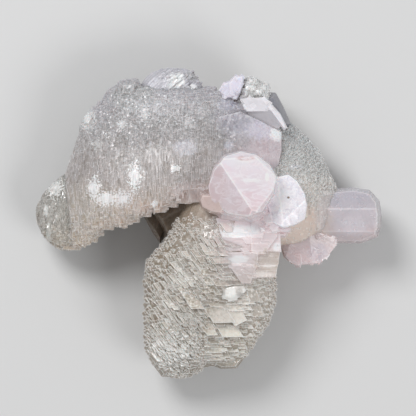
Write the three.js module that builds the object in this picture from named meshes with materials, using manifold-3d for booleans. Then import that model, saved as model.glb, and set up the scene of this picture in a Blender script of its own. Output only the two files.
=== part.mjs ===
// A cabinet specimen of pink fluorescent calcite: one cluster of crystals grown into each other,
// lying on the back where it was broken off its rock. Millimetres, +Z up. The origin is on the
// broken-off face, +X runs along the longest way through the cluster, and -Y along its column.
import * as THREE from "three";
import { ConvexGeometry } from "three/addons/geometries/ConvexGeometry.js";
import { mergeVertices } from "three/addons/utils/BufferGeometryUtils.js";
import Module from "manifold-3d";

const wasm = await Module();
wasm.setup();

// Driving dimensions.
const BACK_FACE_Z = 0; // the cut that the cluster rests on
const FRONT_POINTS = 8; // facets across the front of a grown body
const BACK_POINTS = 5; // facets across its back
const BULGE_POWER = 0.62; // below 1 a section is fuller than a half ellipse
const BACK_LEAN = -0.12; // how far a crystal's sides lean in behind its widest outline
const CORNER_TOLERANCE = 1e-4;
const PARALLEL_LIMIT = 1e-6;
const FRONT = 1;
const BACK = -1;
const STONE = { color: 0xd9cdca, roughness: 0.45, metalness: 0 };

// Ledge edges: across, along and out of the face, as unit directions of each body's lattice.
const COLUMN_LATTICE = lattice([1, 0.02, -0.12], [0.46, -0.86, -0.2], [0.2, 0.28, 0.94]);
const PLATE_LATTICE = lattice([1, -0.04, -0.1], [0.4, -0.9, -0.1], [0.1, 0.3, 0.95]);
const WING_LATTICE = lattice([1, 0.05, -0.1], [0.06, -1, 0.05], [0.12, 0.3, 0.95]);
const RIGHT_WING_LATTICE = lattice([0.82, -0.5, -0.28], [-0.42, -0.88, 0.2], [0.3, 0.15, 0.94]);

// The same numbers every run, so that the cluster always comes out alike.
function makeRandom(seed) {
  let state = seed;
  return (low = 0, high = 1) => {
    state = (state * 1664525 + 1013904223) % 4294967296;
    return low + ((high - low) * state) / 4294967296;
  };
}

function lattice(across, along, out) {
  return [across, along, out].map((v) => new THREE.Vector3(...v).normalize());
}

function solidOf(geometry) {
  const bare = geometry.clone();
  bare.deleteAttribute("normal");
  bare.deleteAttribute("uv");
  const merged = mergeVertices(bare, CORNER_TOLERANCE);
  const vertProperties = merged.attributes.position.array;
  const triVerts = new Uint32Array(merged.index.array);
  return new wasm.Manifold(new wasm.Mesh({ numProp: 3, vertProperties, triVerts }));
}

// Joins solids two by two, which keeps each step small.
function joinAll(solids) {
  let round = solids;
  while (round.length > 1) {
    const next = [];
    for (let i = 0; i < round.length; i += 2) {
      next.push(i + 1 < round.length ? round[i].add(round[i + 1]) : round[i]);
    }
    round = next;
  }
  return round[0];
}

// The outer body alone: small pockets closed in between ledges are filled.
function filled(solid) {
  return solid.decompose().reduce((best, body) => (body.volume() > best.volume() ? body : best));
}

function geometryOf(solid) {
  const mesh = solid.getMesh();
  const geometry = new THREE.BufferGeometry();
  geometry.setAttribute("position", new THREE.BufferAttribute(mesh.vertProperties, 3));
  geometry.setIndex(new THREE.BufferAttribute(mesh.triVerts, 1));
  return geometry;
}

// A flat-faced crystal that is widest at height z, where its outline runs anticlockwise. Its sides
// lean in by `lean` in front and behind; `faces` close it, as directions and distances from `centre`.
function girdledCrystal({ outline, z, lean, faces }) {
  const sides = outline.flatMap((from, i) => {
    const to = outline[(i + 1) % outline.length];
    const corner = new THREE.Vector3(...from, z);
    return [lean, BACK_LEAN].map((tilt) => {
      const normal = new THREE.Vector3(to[1] - from[1], from[0] - to[0], 0).normalize();
      return new THREE.Plane().setFromNormalAndCoplanarPoint(normal.setZ(tilt).normalize(), corner);
    });
  });
  const centre = new THREE.Vector3(0, 0, z);
  outline.forEach(([x, y]) => centre.add(new THREE.Vector3(x, y, 0).divideScalar(outline.length)));
  const ends = faces.map(([x, y, height, distance]) => {
    const normal = new THREE.Vector3(x, y, height).normalize();
    const point = centre.clone().addScaledVector(normal, distance);
    return new THREE.Plane().setFromNormalAndCoplanarPoint(normal, point);
  });
  return crystalInside([...sides, ...ends]);
}

function crystalInside(planes) {
  const corners = [];
  const inside = (p) => planes.every((q) => q.distanceToPoint(p) < CORNER_TOLERANCE);
  for (let i = 0; i < planes.length; i += 1) {
    for (let j = i + 1; j < planes.length; j += 1) {
      for (let k = j + 1; k < planes.length; k += 1) {
        const corner = meetingPoint(planes[i], planes[j], planes[k]);
        if (corner && inside(corner)) corners.push(corner);
      }
    }
  }
  return new ConvexGeometry(corners);
}

function meetingPoint(p, q, r) {
  const normals = new THREE.Matrix3().set(
    ...p.normal.toArray(),
    ...q.normal.toArray(),
    ...r.normal.toArray(),
  );
  if (Math.abs(normals.determinant()) < PARALLEL_LIMIT) return null;
  return new THREE.Vector3(-p.constant, -q.constant, -r.constant).applyMatrix3(normals.invert());
}

// A parallel-sided block in a lattice, its edges given in millimetres.
function ledge(centre, directions, edges) {
  const sides = directions.map((d, i) => d.clone().multiplyScalar(edges[i]));
  const place = new THREE.Matrix4().makeBasis(...sides);
  const box = new THREE.BoxGeometry(1, 1, 1);
  if (place.determinant() < 0) box.scale(1, 1, -1);
  return box.applyMatrix4(place).translate(...centre);
}

// A grown body between two edges. Each station holds a point of each edge, and how far the
// front stands up and the back hangs down between them.
class GrownBody {
  constructor(stations) {
    this.stations = stations.map(([a, b, front, back]) => ({
      a: new THREE.Vector3(...a),
      b: new THREE.Vector3(...b),
      front,
      back,
    }));
  }

  // A point of the front (side 1) or back (side -1): along from 0 to 1 over the stations,
  // across from 0 to 1 between the edges.
  point(along, across, side) {
    const place = along * (this.stations.length - 1);
    const i = Math.min(Math.floor(place), this.stations.length - 2);
    const [one, two] = [this.stations[i], this.stations[i + 1]];
    const share = place - i;
    const a = one.a.clone().lerp(two.a, share);
    const b = one.b.clone().lerp(two.b, share);
    const name = side === FRONT ? "front" : "back";
    const height = THREE.MathUtils.lerp(one[name], two[name], share);
    const bulge = height * Math.pow(Math.sin(Math.PI * across), BULGE_POWER);
    const middle = (1 - Math.cos(Math.PI * across)) / 2;
    const p = a.lerp(b, middle);
    p.z += side * bulge;
    return p;
  }

  geometry() {
    const ring = FRONT_POINTS + BACK_POINTS;
    const last = this.stations.length - 1;
    const points = [];
    const faces = [];
    for (let s = 0; s <= last; s++) {
      for (let i = 0; i < FRONT_POINTS; i++) {
        points.push(...this.point(s / last, i / FRONT_POINTS, FRONT).toArray());
      }
      for (let i = 0; i < BACK_POINTS; i++) {
        points.push(...this.point(s / last, 1 - i / BACK_POINTS, BACK).toArray());
      }
    }
    for (let s = 0; s < last; s++) {
      for (let i = 0; i < ring; i++) {
        const [p, q] = [s * ring + i, s * ring + ((i + 1) % ring)];
        faces.push(p, q + ring, q, p, p + ring, q + ring);
      }
    }
    for (let i = 1; i < ring - 1; i++) {
      faces.push(0, i, i + 1);
      faces.push(last * ring, last * ring + i + 1, last * ring + i);
    }
    const geometry = new THREE.BufferGeometry();
    geometry.setAttribute("position", new THREE.Float32BufferAttribute(points, 3));
    geometry.setIndex(faces);
    return geometry;
  }
}

// Ledges over a stretch of a body: rows along it, columns across it, each a little off its place.
function ledgesOver(body, directions, { seed, rows, columns, along, across, side, edges }) {
  const random = makeRandom(seed);
  const blocks = [];
  for (let row = 0; row < rows; row++) {
    for (let column = 0; column < columns; column++) {
      const s = THREE.MathUtils.lerp(...along, (row + random(0.1, 0.9)) / rows);
      const t = THREE.MathUtils.lerp(...across, (column + random(0.1, 0.9)) / columns);
      const size = edges.map(([low, high]) => random(low, high));
      blocks.push(ledge(body.point(s, t, side).toArray(), directions, size));
    }
  }
  return blocks;
}

// The massive middle that everything grew from.
function core() {
  const points = [
    [-21, 4, 0], [-16, 24, 0], [4, 30, 0], [24, 22, 0], [28, 4, 0], [14, -12, 0], [-10, -9, 0],
    [-23, 2, 9], [-24, 28, 10], [-8, 40, 12], [16, 38, 14], [32, 26, 12], [34, 2, 10],
    [22, -9, 12], [-14, -11, 10], [-18, 6, 30], [-8, 34, 32], [18, 32, 34], [24, 6, 36], [0, -4, 34],
  ];
  return new ConvexGeometry(points.map((p) => new THREE.Vector3(...p)));
}

const leftWing = new GrownBody([
  [[24, 34, 30], [24, 22, 33], 5, 8],
  [[20, 39, 28], [20, 12, 35], 8, 12],
  [[9, 44, 26], [8, 9, 36], 10, 14],
  [[-7, 47, 24], [-7, 9, 35], 11, 14],
  [[-21, 47.5, 22], [-15, 5.5, 34], 11, 12],
  [[-31, 46, 20], [-23, 2.5, 32], 11, 11],
  [[-37.5, 41, 19], [-30, -0.5, 30], 11, 10],
  [[-42, 35, 18], [-36, -2, 27], 11, 9],
  [[-46, 25, 17], [-40, -5.5, 24], 11, 9],
  [[-49, 17, 16], [-45, -7.5, 20], 10, 7],
  [[-51, 13, 15], [-49, -7, 17], 6, 4],
]);

const foot = new GrownBody([
  [[-43, 17, 15], [-43, -7, 17], 8, 6],
  [[-48, 18, 14], [-47.5, -9.4, 15], 11, 8],
  [[-53.2, 15, 13], [-53, -8.8, 14], 10, 8],
  [[-57.4, 10.8, 13], [-57.4, -5, 14], 7, 6],
  [[-60, 5.6, 14], [-60, 0.4, 14], 3, 3],
]);

const column = new GrownBody([
  [[-8, 8, 24], [23, 8, 26], 16, 14],
  [[-12, -0.7, 24], [24, -0.7, 25], 20, 17],
  [[-16.4, -7.7, 23], [24, -7.7, 24], 22, 18],
  [[-21.4, -13.6, 22], [23.6, -13.6, 24], 21, 18],
  [[-22.2, -21.6, 21], [22.8, -21.6, 23], 20, 17],
  [[-22.4, -28.5, 20], [22.6, -28.5, 22], 18, 16],
  [[-22.2, -35.5, 19], [19.4, -35.5, 21], 17, 15],
  [[-22.6, -41.6, 18], [15.2, -40.7, 20], 15, 13],
  [[-21, -47, 18], [11.4, -45.6, 19], 12, 11],
  [[-17.8, -51, 17], [2, -48.2, 17], 8, 8],
  [[-13, -53, 16], [-7, -53, 16], 3, 3],
]);

const rightWing = new GrownBody([
  [[22, 35, 24], [29, 34.5, 20], 5, 8],
  [[14, 29, 30], [34, 29, 20], 9, 12],
  [[12, 23.7, 32], [38.3, 23.7, 19], 11, 12],
  [[12, 16.7, 32], [41.5, 16.7, 19], 12, 12],
  [[12, 11.5, 32], [44, 11.5, 19], 12, 12],
  [[12, 2.8, 30], [45, 2.8, 19], 12, 11],
  [[14, -4.2, 27], [43, -4.2, 18], 11, 10],
  [[22, -8.7, 22], [41, -8.7, 17], 9, 8],
  [[29, -12.5, 18], [37, -12.5, 16], 5, 5],
]);

// Ledges stand on every grown body, and are small where the growth was fine.
function grownBodies() {
  return [
    core(),
    leftWing.geometry(),
    foot.geometry(),
    column.geometry(),
    rightWing.geometry(),
    ...ledgesOver(column, COLUMN_LATTICE, {
      side: FRONT, seed: 11, rows: 14, columns: 4, along: [0.18, 0.94], across: [0.08, 0.5],
      edges: [[2, 4], [3.5, 7.5], [2, 3.6]],
    }),
    ...ledgesOver(column, PLATE_LATTICE, {
      side: FRONT, seed: 12, rows: 9, columns: 4, along: [0.24, 0.92], across: [0.46, 0.87],
      edges: [[4, 8.5], [3, 6], [2, 4]],
    }),
    ...ledgesOver(column, COLUMN_LATTICE, {
      side: BACK, seed: 13, rows: 5, columns: 4, along: [0.3, 0.9], across: [0.14, 0.86],
      edges: [[6, 9], [6, 9], [2.5, 4.5]],
    }),
    ...ledgesOver(leftWing, WING_LATTICE, {
      side: FRONT, seed: 21, rows: 11, columns: 1, along: [0.18, 0.88], across: [0.82, 0.85],
      edges: [[5, 8], [4, 6], [4, 8]],
    }),
    ...ledgesOver(leftWing, WING_LATTICE, {
      side: FRONT, seed: 22, rows: 10, columns: 1, along: [0.18, 0.76], across: [0.12, 0.15],
      edges: [[5, 9], [4, 6], [4, 7]],
    }),
    ...ledgesOver(leftWing, WING_LATTICE, {
      side: FRONT, seed: 23, rows: 6, columns: 3, along: [0.15, 0.85], across: [0.3, 0.7],
      edges: [[7, 10], [9, 13], [1.2, 1.8]],
    }),
    ...ledgesOver(rightWing, RIGHT_WING_LATTICE, {
      side: FRONT, seed: 31, rows: 9, columns: 1, along: [0.05, 0.48], across: [0.83, 0.86],
      edges: [[3, 5], [3, 5], [3, 6]],
    }),
    ...ledgesOver(rightWing, RIGHT_WING_LATTICE, {
      side: FRONT, seed: 32, rows: 4, columns: 2, along: [0.2, 0.8], across: [0.55, 0.8],
      edges: [[5, 7], [5, 8], [1.4, 2]],
    }),
    ...ledgesOver(leftWing, WING_LATTICE, {
      side: BACK, seed: 24, rows: 7, columns: 3, along: [0.15, 0.9], across: [0.15, 0.85],
      edges: [[6, 10], [6, 10], [2, 3.5]],
    }),
  ];
}

// The rounded pink crystal in front of the middle: a broad face, and a narrow one down its left.
function rosyCrystal() {
  return girdledCrystal({
    outline: [
      [11, 24.8], [5, 23.2], [1.4, 18.6], [-0.3, 12.4], [0.8, 7.6], [6.4, 3], [13.6, 1.7], [18.7, 3.6],
      [22.4, 9.6], [23.7, 15.7], [21.2, 20], [16.6, 23.6],
    ],
    z: 50,
    lean: 0.24,
    faces: [
      [0.2, 0.1, 0.97, 9], [-0.74, -0.34, 0.6, 8.8], [0.08, 0.78, 0.62, 11.2], [0.02, -0.66, 0.75, 10.8],
      [0.8, -0.1, 0.6, 11.4], [0, 0, -1, 17],
    ],
  });
}

// The frosted crystal at its side.
function frostedCrystal() {
  return girdledCrystal({
    outline: [
      [23.8, 15.2], [22, 8], [22.4, 1], [24.6, -1.6], [28.4, -1], [32.2, 0.8], [33.7, 3.8], [33.7, 7.9],
      [31.8, 11.6], [29, 14.7], [26.4, 16],
    ],
    z: 40,
    lean: 0.4,
    faces: [[-0.2, 0.12, 0.96, 8.6], [0.6, 0.3, 0.74, 8.4], [0.2, -0.7, 0.66, 8.6], [0, 0, -1, 12]],
  });
}

// The clear six-sided prism that sticks out to the right, its end worn round.
function endPrism() {
  return girdledCrystal({
    outline: [
      [34, 11], [34, -7], [44, -7], [52.6, -7.2], [58.8, -4.9], [60, -1.6], [60.1, 3], [59.3, 7.8],
      [56, 11.4], [48.6, 12.5], [44, 11.7],
    ],
    z: 20,
    lean: 0.2,
    faces: [
      [0, 0.5, 0.86, 9.8], [0, -0.2, 0.98, 9.4], [0, -0.72, 0.69, 9.9], [0, 0.9, -0.42, 10.4],
      [0.05, 0, -1, 9.8], [0, -0.86, -0.5, 10.2], [0.66, 0.1, 0.75, 13.2], [0.75, 0.1, -0.65, 13.6],
    ],
  });
}

// The peach block under the left side of the rosy crystal.
function peachBlock() {
  return girdledCrystal({
    outline: [[6, 11], [-2.6, 10.4], [-3.4, 8], [-2.6, 5.4], [1, 3], [6, 2.4]],
    z: 40,
    lean: 0.3,
    faces: [[-0.25, -0.15, 0.95, 7], [0, 0, -1, 9]],
  });
}

// Broad rosy plates, each a step behind the one above it, where the column leaves the middle.
function rosyPlates() {
  const face = [[-0.06, 0.22, 0.97, 3], [0, 0, -1, 9]];
  return [
    { outline: [[3, 2], [4.7, -5.2], [17.4, -5.2], [18.8, -3], [19, 2]], z: 43.6 },
    { outline: [[4.2, 0], [6.1, -9.8], [16.8, -9.6], [17.8, 0]], z: 42.8 },
    { outline: [[5.6, -6], [8.2, -14.8], [14.4, -14.6], [15.8, -6]], z: 42 },
    { outline: [[1.6, -9], [4.8, -17.6], [9.8, -21.2], [14.4, -21.2], [14.6, -12]], z: 40.4 },
    { outline: [[16, 3], [17, -5.4], [21, -6], [23.4, -2], [22.4, 3]], z: 41.4 },
    { outline: [[16, -3], [16.4, -9.6], [24.8, -9.4], [24.6, -3]], z: 39.4 },
  ].map((plate) => girdledCrystal({ ...plate, lean: 0.14, faces: face }));
}

// The crystals that stand up behind the top edge of the wing, from left to right.
function crestCrystals() {
  return [
    {
      outline: [
        [-23.4, 44], [-4, 44], [-2.5, 47.7], [-4.7, 51.4], [-7.6, 53.4], [-14, 53.9], [-17.8, 53.1],
        [-23.5, 48.6],
      ],
      z: 24,
      lean: 0.5,
      faces: [[-0.42, 0.5, 0.76, 7.6], [0.1, 0.42, 0.9, 7.4], [0.7, 0.3, 0.64, 8.6], [0, 0, -1, 8]],
    },
    {
      outline: [[4.2, 42], [11, 42], [12, 49], [11.7, 51.6], [8.4, 51.7], [4.4, 48.9], [3.6, 46]],
      z: 32,
      lean: 0.3,
      faces: [[-0.3, 0.1, 0.95, 2.8], [0.1, -0.1, -1, 5]],
    },
    {
      outline: [[10, 40], [22, 40], [21.6, 45.4], [20.3, 48.4], [14.4, 50.7], [11.6, 50]],
      z: 27,
      lean: 0.5,
      faces: [[-0.1, 0.2, 0.97, 6.4], [0.5, 0.45, 0.74, 6.8], [0, 0, -1, 9]],
    },
    {
      outline: [[19.6, 33], [28.2, 33.2], [28.6, 35], [25, 42], [23, 44.8], [20.4, 44.8]],
      z: 22,
      lean: 0.3,
      faces: [[0.5, 0.2, 0.84, 6.4], [0, 0, -1, 9]],
    },
    {
      outline: [[14.2, 35], [20.6, 28.8], [25, 28.6], [26.2, 34.4], [20.8, 39.6], [13.4, 38.8]],
      z: 33,
      lean: 0.5,
      faces: [[-0.3, -0.3, 0.9, 3.8], [0.42, 0.5, 0.76, 3.6], [0, 0, -1, 9]],
    },
  ].map(girdledCrystal);
}

// Small sharp crystals, each turned by its own angle about +Z, in degrees.
function smallRhombs() {
  const places = [
    { at: [31, -10.4, 18], edges: [8, 7, 9], turn: 25 },
    { at: [37.4, -8.4, 17], edges: [7, 6, 8], turn: 42 },
    { at: [28, -7.8, 19], edges: [7, 6, 9], turn: 48 },
    { at: [35.8, -12, 14], edges: [4, 4, 7], turn: 12 },
    { at: [32.6, -13, 15], edges: [3.4, 3.4, 6], turn: 5 },
    { at: [-42, 34.6, 19], edges: [3.6, 5, 6], turn: -25 },
    { at: [-28.4, 46.4, 19], edges: [8.6, 6, 8], turn: 3 },
    { at: [6, -46.6, 17], edges: [7.4, 6, 8], turn: 4 },
    { at: [7.6, -24.2, 38.6], edges: [5.6, 4.6, 5], turn: 24 },
    { at: [-48.4, 14.6, 17], edges: [5, 5, 5], turn: -38 },
    { at: [-15.2, 0, 12], edges: [8, 9, 14], turn: 42 },
    { at: [-11, 4, 18], edges: [7, 6, 12], turn: 20 },
  ];
  const flat = lattice([1, 0, -0.1], [0.2, -1, 0], [0.1, 0.2, 0.97]);
  const up = new THREE.Vector3(0, 0, 1);
  return places.map(({ at, edges, turn }) => {
    const angle = THREE.MathUtils.degToRad(turn);
    const turned = flat.map((v) => v.clone().applyAxisAngle(up, angle));
    return ledge(at, turned, edges);
  });
}

function cluster() {
  const pieces = [
    ...grownBodies(),
    rosyCrystal(),
    frostedCrystal(),
    endPrism(),
    peachBlock(),
    ...rosyPlates(),
    ...crestCrystals(),
    ...smallRhombs(),
  ];
  const below = solidOf(new THREE.BoxGeometry(400, 400, 100).translate(0, 0, BACK_FACE_Z - 50));
  return filled(joinAll(pieces.map(solidOf)).subtract(below));
}

const specimen = new THREE.Group();
const calcite = new THREE.Mesh(geometryOf(cluster()), new THREE.MeshStandardMaterial(STONE));
calcite.name = "calcite_cluster";
specimen.add(calcite);

export default specimen;
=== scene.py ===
# A cluster of pink fluorescent calcite, lying on its broken back on a pale table, seen from straight above.
import math
from collections import namedtuple

import bpy
import numpy as np
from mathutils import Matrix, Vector
from mathutils.bvhtree import BVHTree
from mathutils.kdtree import KDTree


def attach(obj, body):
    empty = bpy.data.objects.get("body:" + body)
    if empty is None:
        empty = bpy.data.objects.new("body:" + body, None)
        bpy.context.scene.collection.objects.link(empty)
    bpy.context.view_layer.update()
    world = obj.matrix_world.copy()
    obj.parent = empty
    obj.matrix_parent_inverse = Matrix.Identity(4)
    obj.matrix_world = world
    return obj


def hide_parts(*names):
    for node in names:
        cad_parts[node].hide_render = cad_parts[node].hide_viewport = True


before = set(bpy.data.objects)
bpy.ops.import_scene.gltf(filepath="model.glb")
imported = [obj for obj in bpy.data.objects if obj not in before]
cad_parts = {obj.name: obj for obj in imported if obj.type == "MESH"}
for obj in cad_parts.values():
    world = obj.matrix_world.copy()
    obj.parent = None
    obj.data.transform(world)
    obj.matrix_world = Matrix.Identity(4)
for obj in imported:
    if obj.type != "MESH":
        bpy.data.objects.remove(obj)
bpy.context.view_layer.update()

mm = 0.001
cadNode = "calcite_cluster"
xyz = namedtuple("xyz", "x y z")


def deselectAll():
    bpy.ops.object.select_all(action="DESELECT")


def activate(piece):
    deselectAll()
    piece.select_set(True)
    bpy.context.view_layer.objects.active = piece


def applyTo(piece, modifier):
    activate(piece)
    bpy.ops.object.modifier_apply(modifier=modifier.name)


def shapeIn(piece):
    activate(piece)
    bpy.ops.object.mode_set(mode="EDIT")
    bpy.ops.mesh.select_all(action="SELECT")


def shapeOut():
    bpy.ops.object.mode_set(mode="OBJECT")


def finishPiece(piece, name, material, smoothAngle=None):
    activate(piece)
    bpy.ops.object.transform_apply(location=True, rotation=True, scale=True)
    if smoothAngle:
        bpy.ops.object.shade_smooth_by_angle(angle=math.radians(smoothAngle))
    piece.name = name
    piece.data.name = name
    piece.data.materials.clear()
    piece.data.materials.append(material)
    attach(piece, "root")
    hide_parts(cadNode)
    print(name, len(piece.data.polygons), "faces")
    return piece


# A spot in a look: its place, how far it reaches each way, its colour, how ragged and how strong it is
def spot(x, y, wide, high, colour, ragged=0.6, strength=1.0, fineness=1.0, inner=0.5, outer=1.1):
    return dict(
        at=(x, y, 0), reach=(wide, high, 1), colour=colour, ragged=ragged, strength=strength,
        fineness=fineness, inner=inner, outer=outer,
    )


# A spot of painted glints, crisp and finely broken up; white ones are painted glints, and dark ones are dark
# speckles among them
def glintAndSpeckle(x, y, wide, high, colour, ragged=3.4, strength=1.0):
    return spot(x, y, wide, high, colour, ragged, strength, fineness=1.5, inner=0.72, outer=0.88)


# Where packed grains lie calm, or rougher if the amount is negative
def calm(x, y, wide, high, amount=1.0):
    return spot(x, y, wide, high, None, strength=amount)


# Crystals or growths that share some values; the others are named once, and then listed for each
def alike(names, rows, **shared):
    return [dict(zip(names.split(), row), **shared) for row in rows]


# Colours are given as they look, from 0 to 255
def linear(value):
    straightBelow = 11
    slope = 12.92
    offset = 0.055
    share = value / 255
    return share / slope if value < straightBelow else ((share + offset) / (1 + offset)) ** 2.4


def paint(colour):
    return (*(linear(value) for value in colour), 1)


def newGroup(name, inputs, outputs):
    group = bpy.data.node_groups.new(name, "ShaderNodeTree")
    for label, kind, value in inputs:
        socket = group.interface.new_socket(name=label, in_out="INPUT", socket_type="NodeSocket" + kind)
        socket.default_value = value
    for label, kind in outputs:
        group.interface.new_socket(name=label, in_out="OUTPUT", socket_type="NodeSocket" + kind)
    return group, group.nodes.new("NodeGroupInput").outputs, group.nodes.new("NodeGroupOutput").inputs


def feed(tree, socket, source):
    if isinstance(source, bpy.types.NodeSocket):
        tree.links.new(source, socket)
    else:
        socket.default_value = source


def addNode(tree, kind, inputs=None, **settings):
    node = tree.nodes.new("ShaderNode" + kind)
    for key, value in settings.items():
        setattr(node, key, value)
    for key, source in (inputs or {}).items():
        feed(tree, node.inputs[key], source)
    return node


def useGroup(tree, group, inputs):
    node = tree.nodes.new("ShaderNodeGroup")
    node.node_tree = group
    for key, source in inputs.items():
        feed(tree, node.inputs[key], source)
    return node.outputs


def noise(tree, place, scale, detail):
    return addNode(tree, "TexNoise", {"Vector": place, "Scale": scale, "Detail": detail}).outputs[0]


def vectorMath(tree, operation, first, second=None):
    inputs = {0: first} if second is None else {0: first, 1: second}
    node = addNode(tree, "VectorMath", inputs, operation=operation)
    return node.outputs["Value" if operation in ("DOT_PRODUCT", "LENGTH") else "Vector"]


def scaled(tree, vector, scale):
    return addNode(tree, "VectorMath", {0: vector, "Scale": scale}, operation="SCALE").outputs["Vector"]


def maths(tree, operation, first, second=0.0):
    return addNode(tree, "Math", {0: first, 1: second}, operation=operation).outputs[0]


def times(tree, first, second):
    return maths(tree, "MULTIPLY", first, second)


# A value that a wandering one from 0 to 1 moves up and down
def swayed(tree, value, sway, reach):
    return maths(tree, "ADD", value, times(tree, maths(tree, "SUBTRACT", sway, 0.5), reach))


def remap(tree, value, low, high, toLow=0.0, toHigh=1.0, smooth=False, clamp=True):
    node = addNode(tree, "MapRange", {
        "Value": value, "From Min": low, "From Max": high, "To Min": toLow, "To Max": toHigh,
    }, interpolation_type="SMOOTHSTEP" if smooth else "LINEAR", clamp=clamp)
    return node.outputs["Result"]


def mixed(tree, amount, first, second):
    return addNode(tree, "Mix", data_type="RGBA", inputs={0: amount, 6: first, 7: second}).outputs[2]


def mixedVector(tree, amount, first, second):
    return addNode(tree, "Mix", data_type="VECTOR", inputs={0: amount, 4: first, 5: second}).outputs[1]


# Tiny facets of packed crystals: each cell leans its own way, so some catch the light
def makeGrainGroup():
    seamWidth = 0.12
    tree, given, out = newGroup(
        "crystalGrain",
        [("Place", "Vector", (0, 0, 0)), ("Lean", "Float", 0.3)],
        [("Normal", "Vector"), ("Shade", "Float"), ("Seam", "Float")],
    )
    place = {"Vector": given["Place"], "Scale": 1.0}
    cells = addNode(tree, "TexVoronoi", place).outputs
    walls = addNode(tree, "TexVoronoi", place, feature="DISTANCE_TO_EDGE").outputs
    offset = vectorMath(tree, "SUBTRACT", cells["Color"], (0.5, 0.5, 0.5))
    turned = scaled(tree, offset, given["Lean"])
    face = addNode(tree, "NewGeometry").outputs["Normal"]
    feed(tree, out["Normal"], vectorMath(tree, "NORMALIZE", vectorMath(tree, "ADD", face, turned)))
    feed(tree, out["Shade"], addNode(tree, "SeparateXYZ", {0: cells["Color"]}).outputs["X"])
    feed(tree, out["Seam"], remap(tree, walls["Distance"], 0.0, seamWidth, 1.0, 0.0))
    return tree


# Painted highlight: sharp edges, found by the bevel node, are painted white
def makeRimHighlightGroup():
    flat = 0.998
    bent = 0.9
    tree, given, out = newGroup("paintedRimLight", [("Width", "Float", 0.0003)], [("Mask", "Float")])
    eased = addNode(tree, "Bevel", {"Radius": given["Width"]}, samples=6).outputs["Normal"]
    face = addNode(tree, "NewGeometry").outputs["Normal"]
    feed(tree, out["Mask"], remap(tree, vectorMath(tree, "DOT_PRODUCT", eased, face), flat, bent))
    return tree


# Painted shade: hollows and cracks, found by ambient occlusion, are darkened
def makeHollowShadeGroup():
    closed = 0.35
    tree, given, out = newGroup("paintedShadeInHollows", [("Reach", "Float", 0.002)], [("Mask", "Float")])
    shade = addNode(tree, "AmbientOcclusion", {"Distance": given["Reach"]}, samples=8).outputs["AO"]
    feed(tree, out["Mask"], remap(tree, shade, 1.0, closed))
    return tree


# Milky wisps held inside clear stone
def makeVeilGroup():
    wispWidth = 0.05
    clearest = 0.35
    milkiest = 0.7
    tree, given, out = newGroup(
        "milkyVeils",
        [("Place", "Vector", (0, 0, 0)), ("Fineness", "Float", 0.5)],
        [("Wisps", "Float"), ("Cloud", "Float")],
    )
    milk = addNode(tree, "TexNoise", {
        "Vector": given["Place"], "Scale": 1.0, "Detail": 6.0,
        "Roughness": given["Fineness"], "Distortion": 1.2,
    }).outputs[0]
    folded = maths(tree, "ABSOLUTE", maths(tree, "SUBTRACT", milk, 0.5))
    feed(tree, out["Wisps"], remap(tree, folded, 0.0, wispWidth, 1.0, 0.0))
    feed(tree, out["Cloud"], remap(tree, milk, clearest, milkiest))
    return tree


# A spot of another colour, oval from the front, with a ragged rim
def makeSpotGroup():
    tree, given, out = newGroup(
        "raggedSpot",
        [
            ("Place", "Vector", (0, 0, 0)), ("Centre", "Vector", (0, 0, 0)), ("Reach", "Vector", (1, 1, 1)),
            ("Ragged", "Float", 0.5), ("Fineness", "Float", 1.0),
            ("Inner", "Float", 0.5), ("Outer", "Float", 1.1),
        ],
        [("Mask", "Float")],
    )
    offset = vectorMath(tree, "SUBTRACT", given["Place"], given["Centre"])
    flat = vectorMath(tree, "MULTIPLY", offset, (1, 1, 0))
    away = vectorMath(tree, "LENGTH", vectorMath(tree, "DIVIDE", flat, given["Reach"]))
    rough = noise(tree, given["Place"], given["Fineness"], detail=4.0)
    shifted = swayed(tree, away, rough, given["Ragged"])
    feed(tree, out["Mask"], remap(tree, shifted, given["Outer"], given["Inner"], smooth=True))
    return tree


grainGroup = makeGrainGroup()
rimHighlightGroup = makeRimHighlightGroup()
hollowShadeGroup = makeHollowShadeGroup()
veilGroup = makeVeilGroup()
spotGroup = makeSpotGroup()


# Places are in millimetres; dividing them by a size makes one cell of a pattern that big
def sized(tree, place, size):
    return vectorMath(tree, "DIVIDE", place, size)


def spotMask(tree, place, patch):
    mask = useGroup(tree, spotGroup, {
        "Place": place, "Centre": patch["at"], "Reach": patch["reach"], "Ragged": patch["ragged"],
        "Fineness": patch["fineness"], "Inner": patch["inner"], "Outer": patch["outer"],
    })["Mask"]
    return times(tree, mask, patch["strength"])


# Bands of colour up the cluster, or along the look's own axis
def bandColour(tree, look, place, sway):
    wander = 14.0
    stops = look["colours"]
    if len(stops) == 1:
        return paint(stops[0][1])
    low = stops[0][0]
    high = stops[-1][0]
    along = vectorMath(tree, "DOT_PRODUCT", place, look.get("axis", (0, 1, 0)))
    node = addNode(tree, "ValToRGB", {"Fac": remap(tree, swayed(tree, along, sway, wander), low, high)})
    node.color_ramp.interpolation = "EASE"
    elements = node.color_ramp.elements
    levels = [(height - low) / (high - low) for height, _ in stops]
    elements[1].position = levels[1]
    for level in levels[2:]:
        elements.new(level)
    for element, level, (_, colour) in zip(elements, levels, stops):
        element.position = level
        element.color = paint(colour)
    return node.outputs["Color"]


# Milk and wisps inside
def veiled(tree, veil, place, colour):
    inside = useGroup(tree, veilGroup, {"Place": sized(tree, place, veil["size"]), "Fineness": 0.55})
    milk = paint(veil["colour"])
    colour = mixed(tree, times(tree, inside["Cloud"], veil["cloud"]), colour, milk)
    return mixed(tree, times(tree, inside["Wisps"], veil["wisps"]), colour, milk)


def cellsOf(tree, place, values, busy):
    lean = times(tree, busy, values["lean"])
    cells = useGroup(tree, grainGroup, {"Place": sized(tree, place, values["size"]), "Lean": lean})
    return cells["Normal"], cells["Shade"], cells["Seam"]


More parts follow.
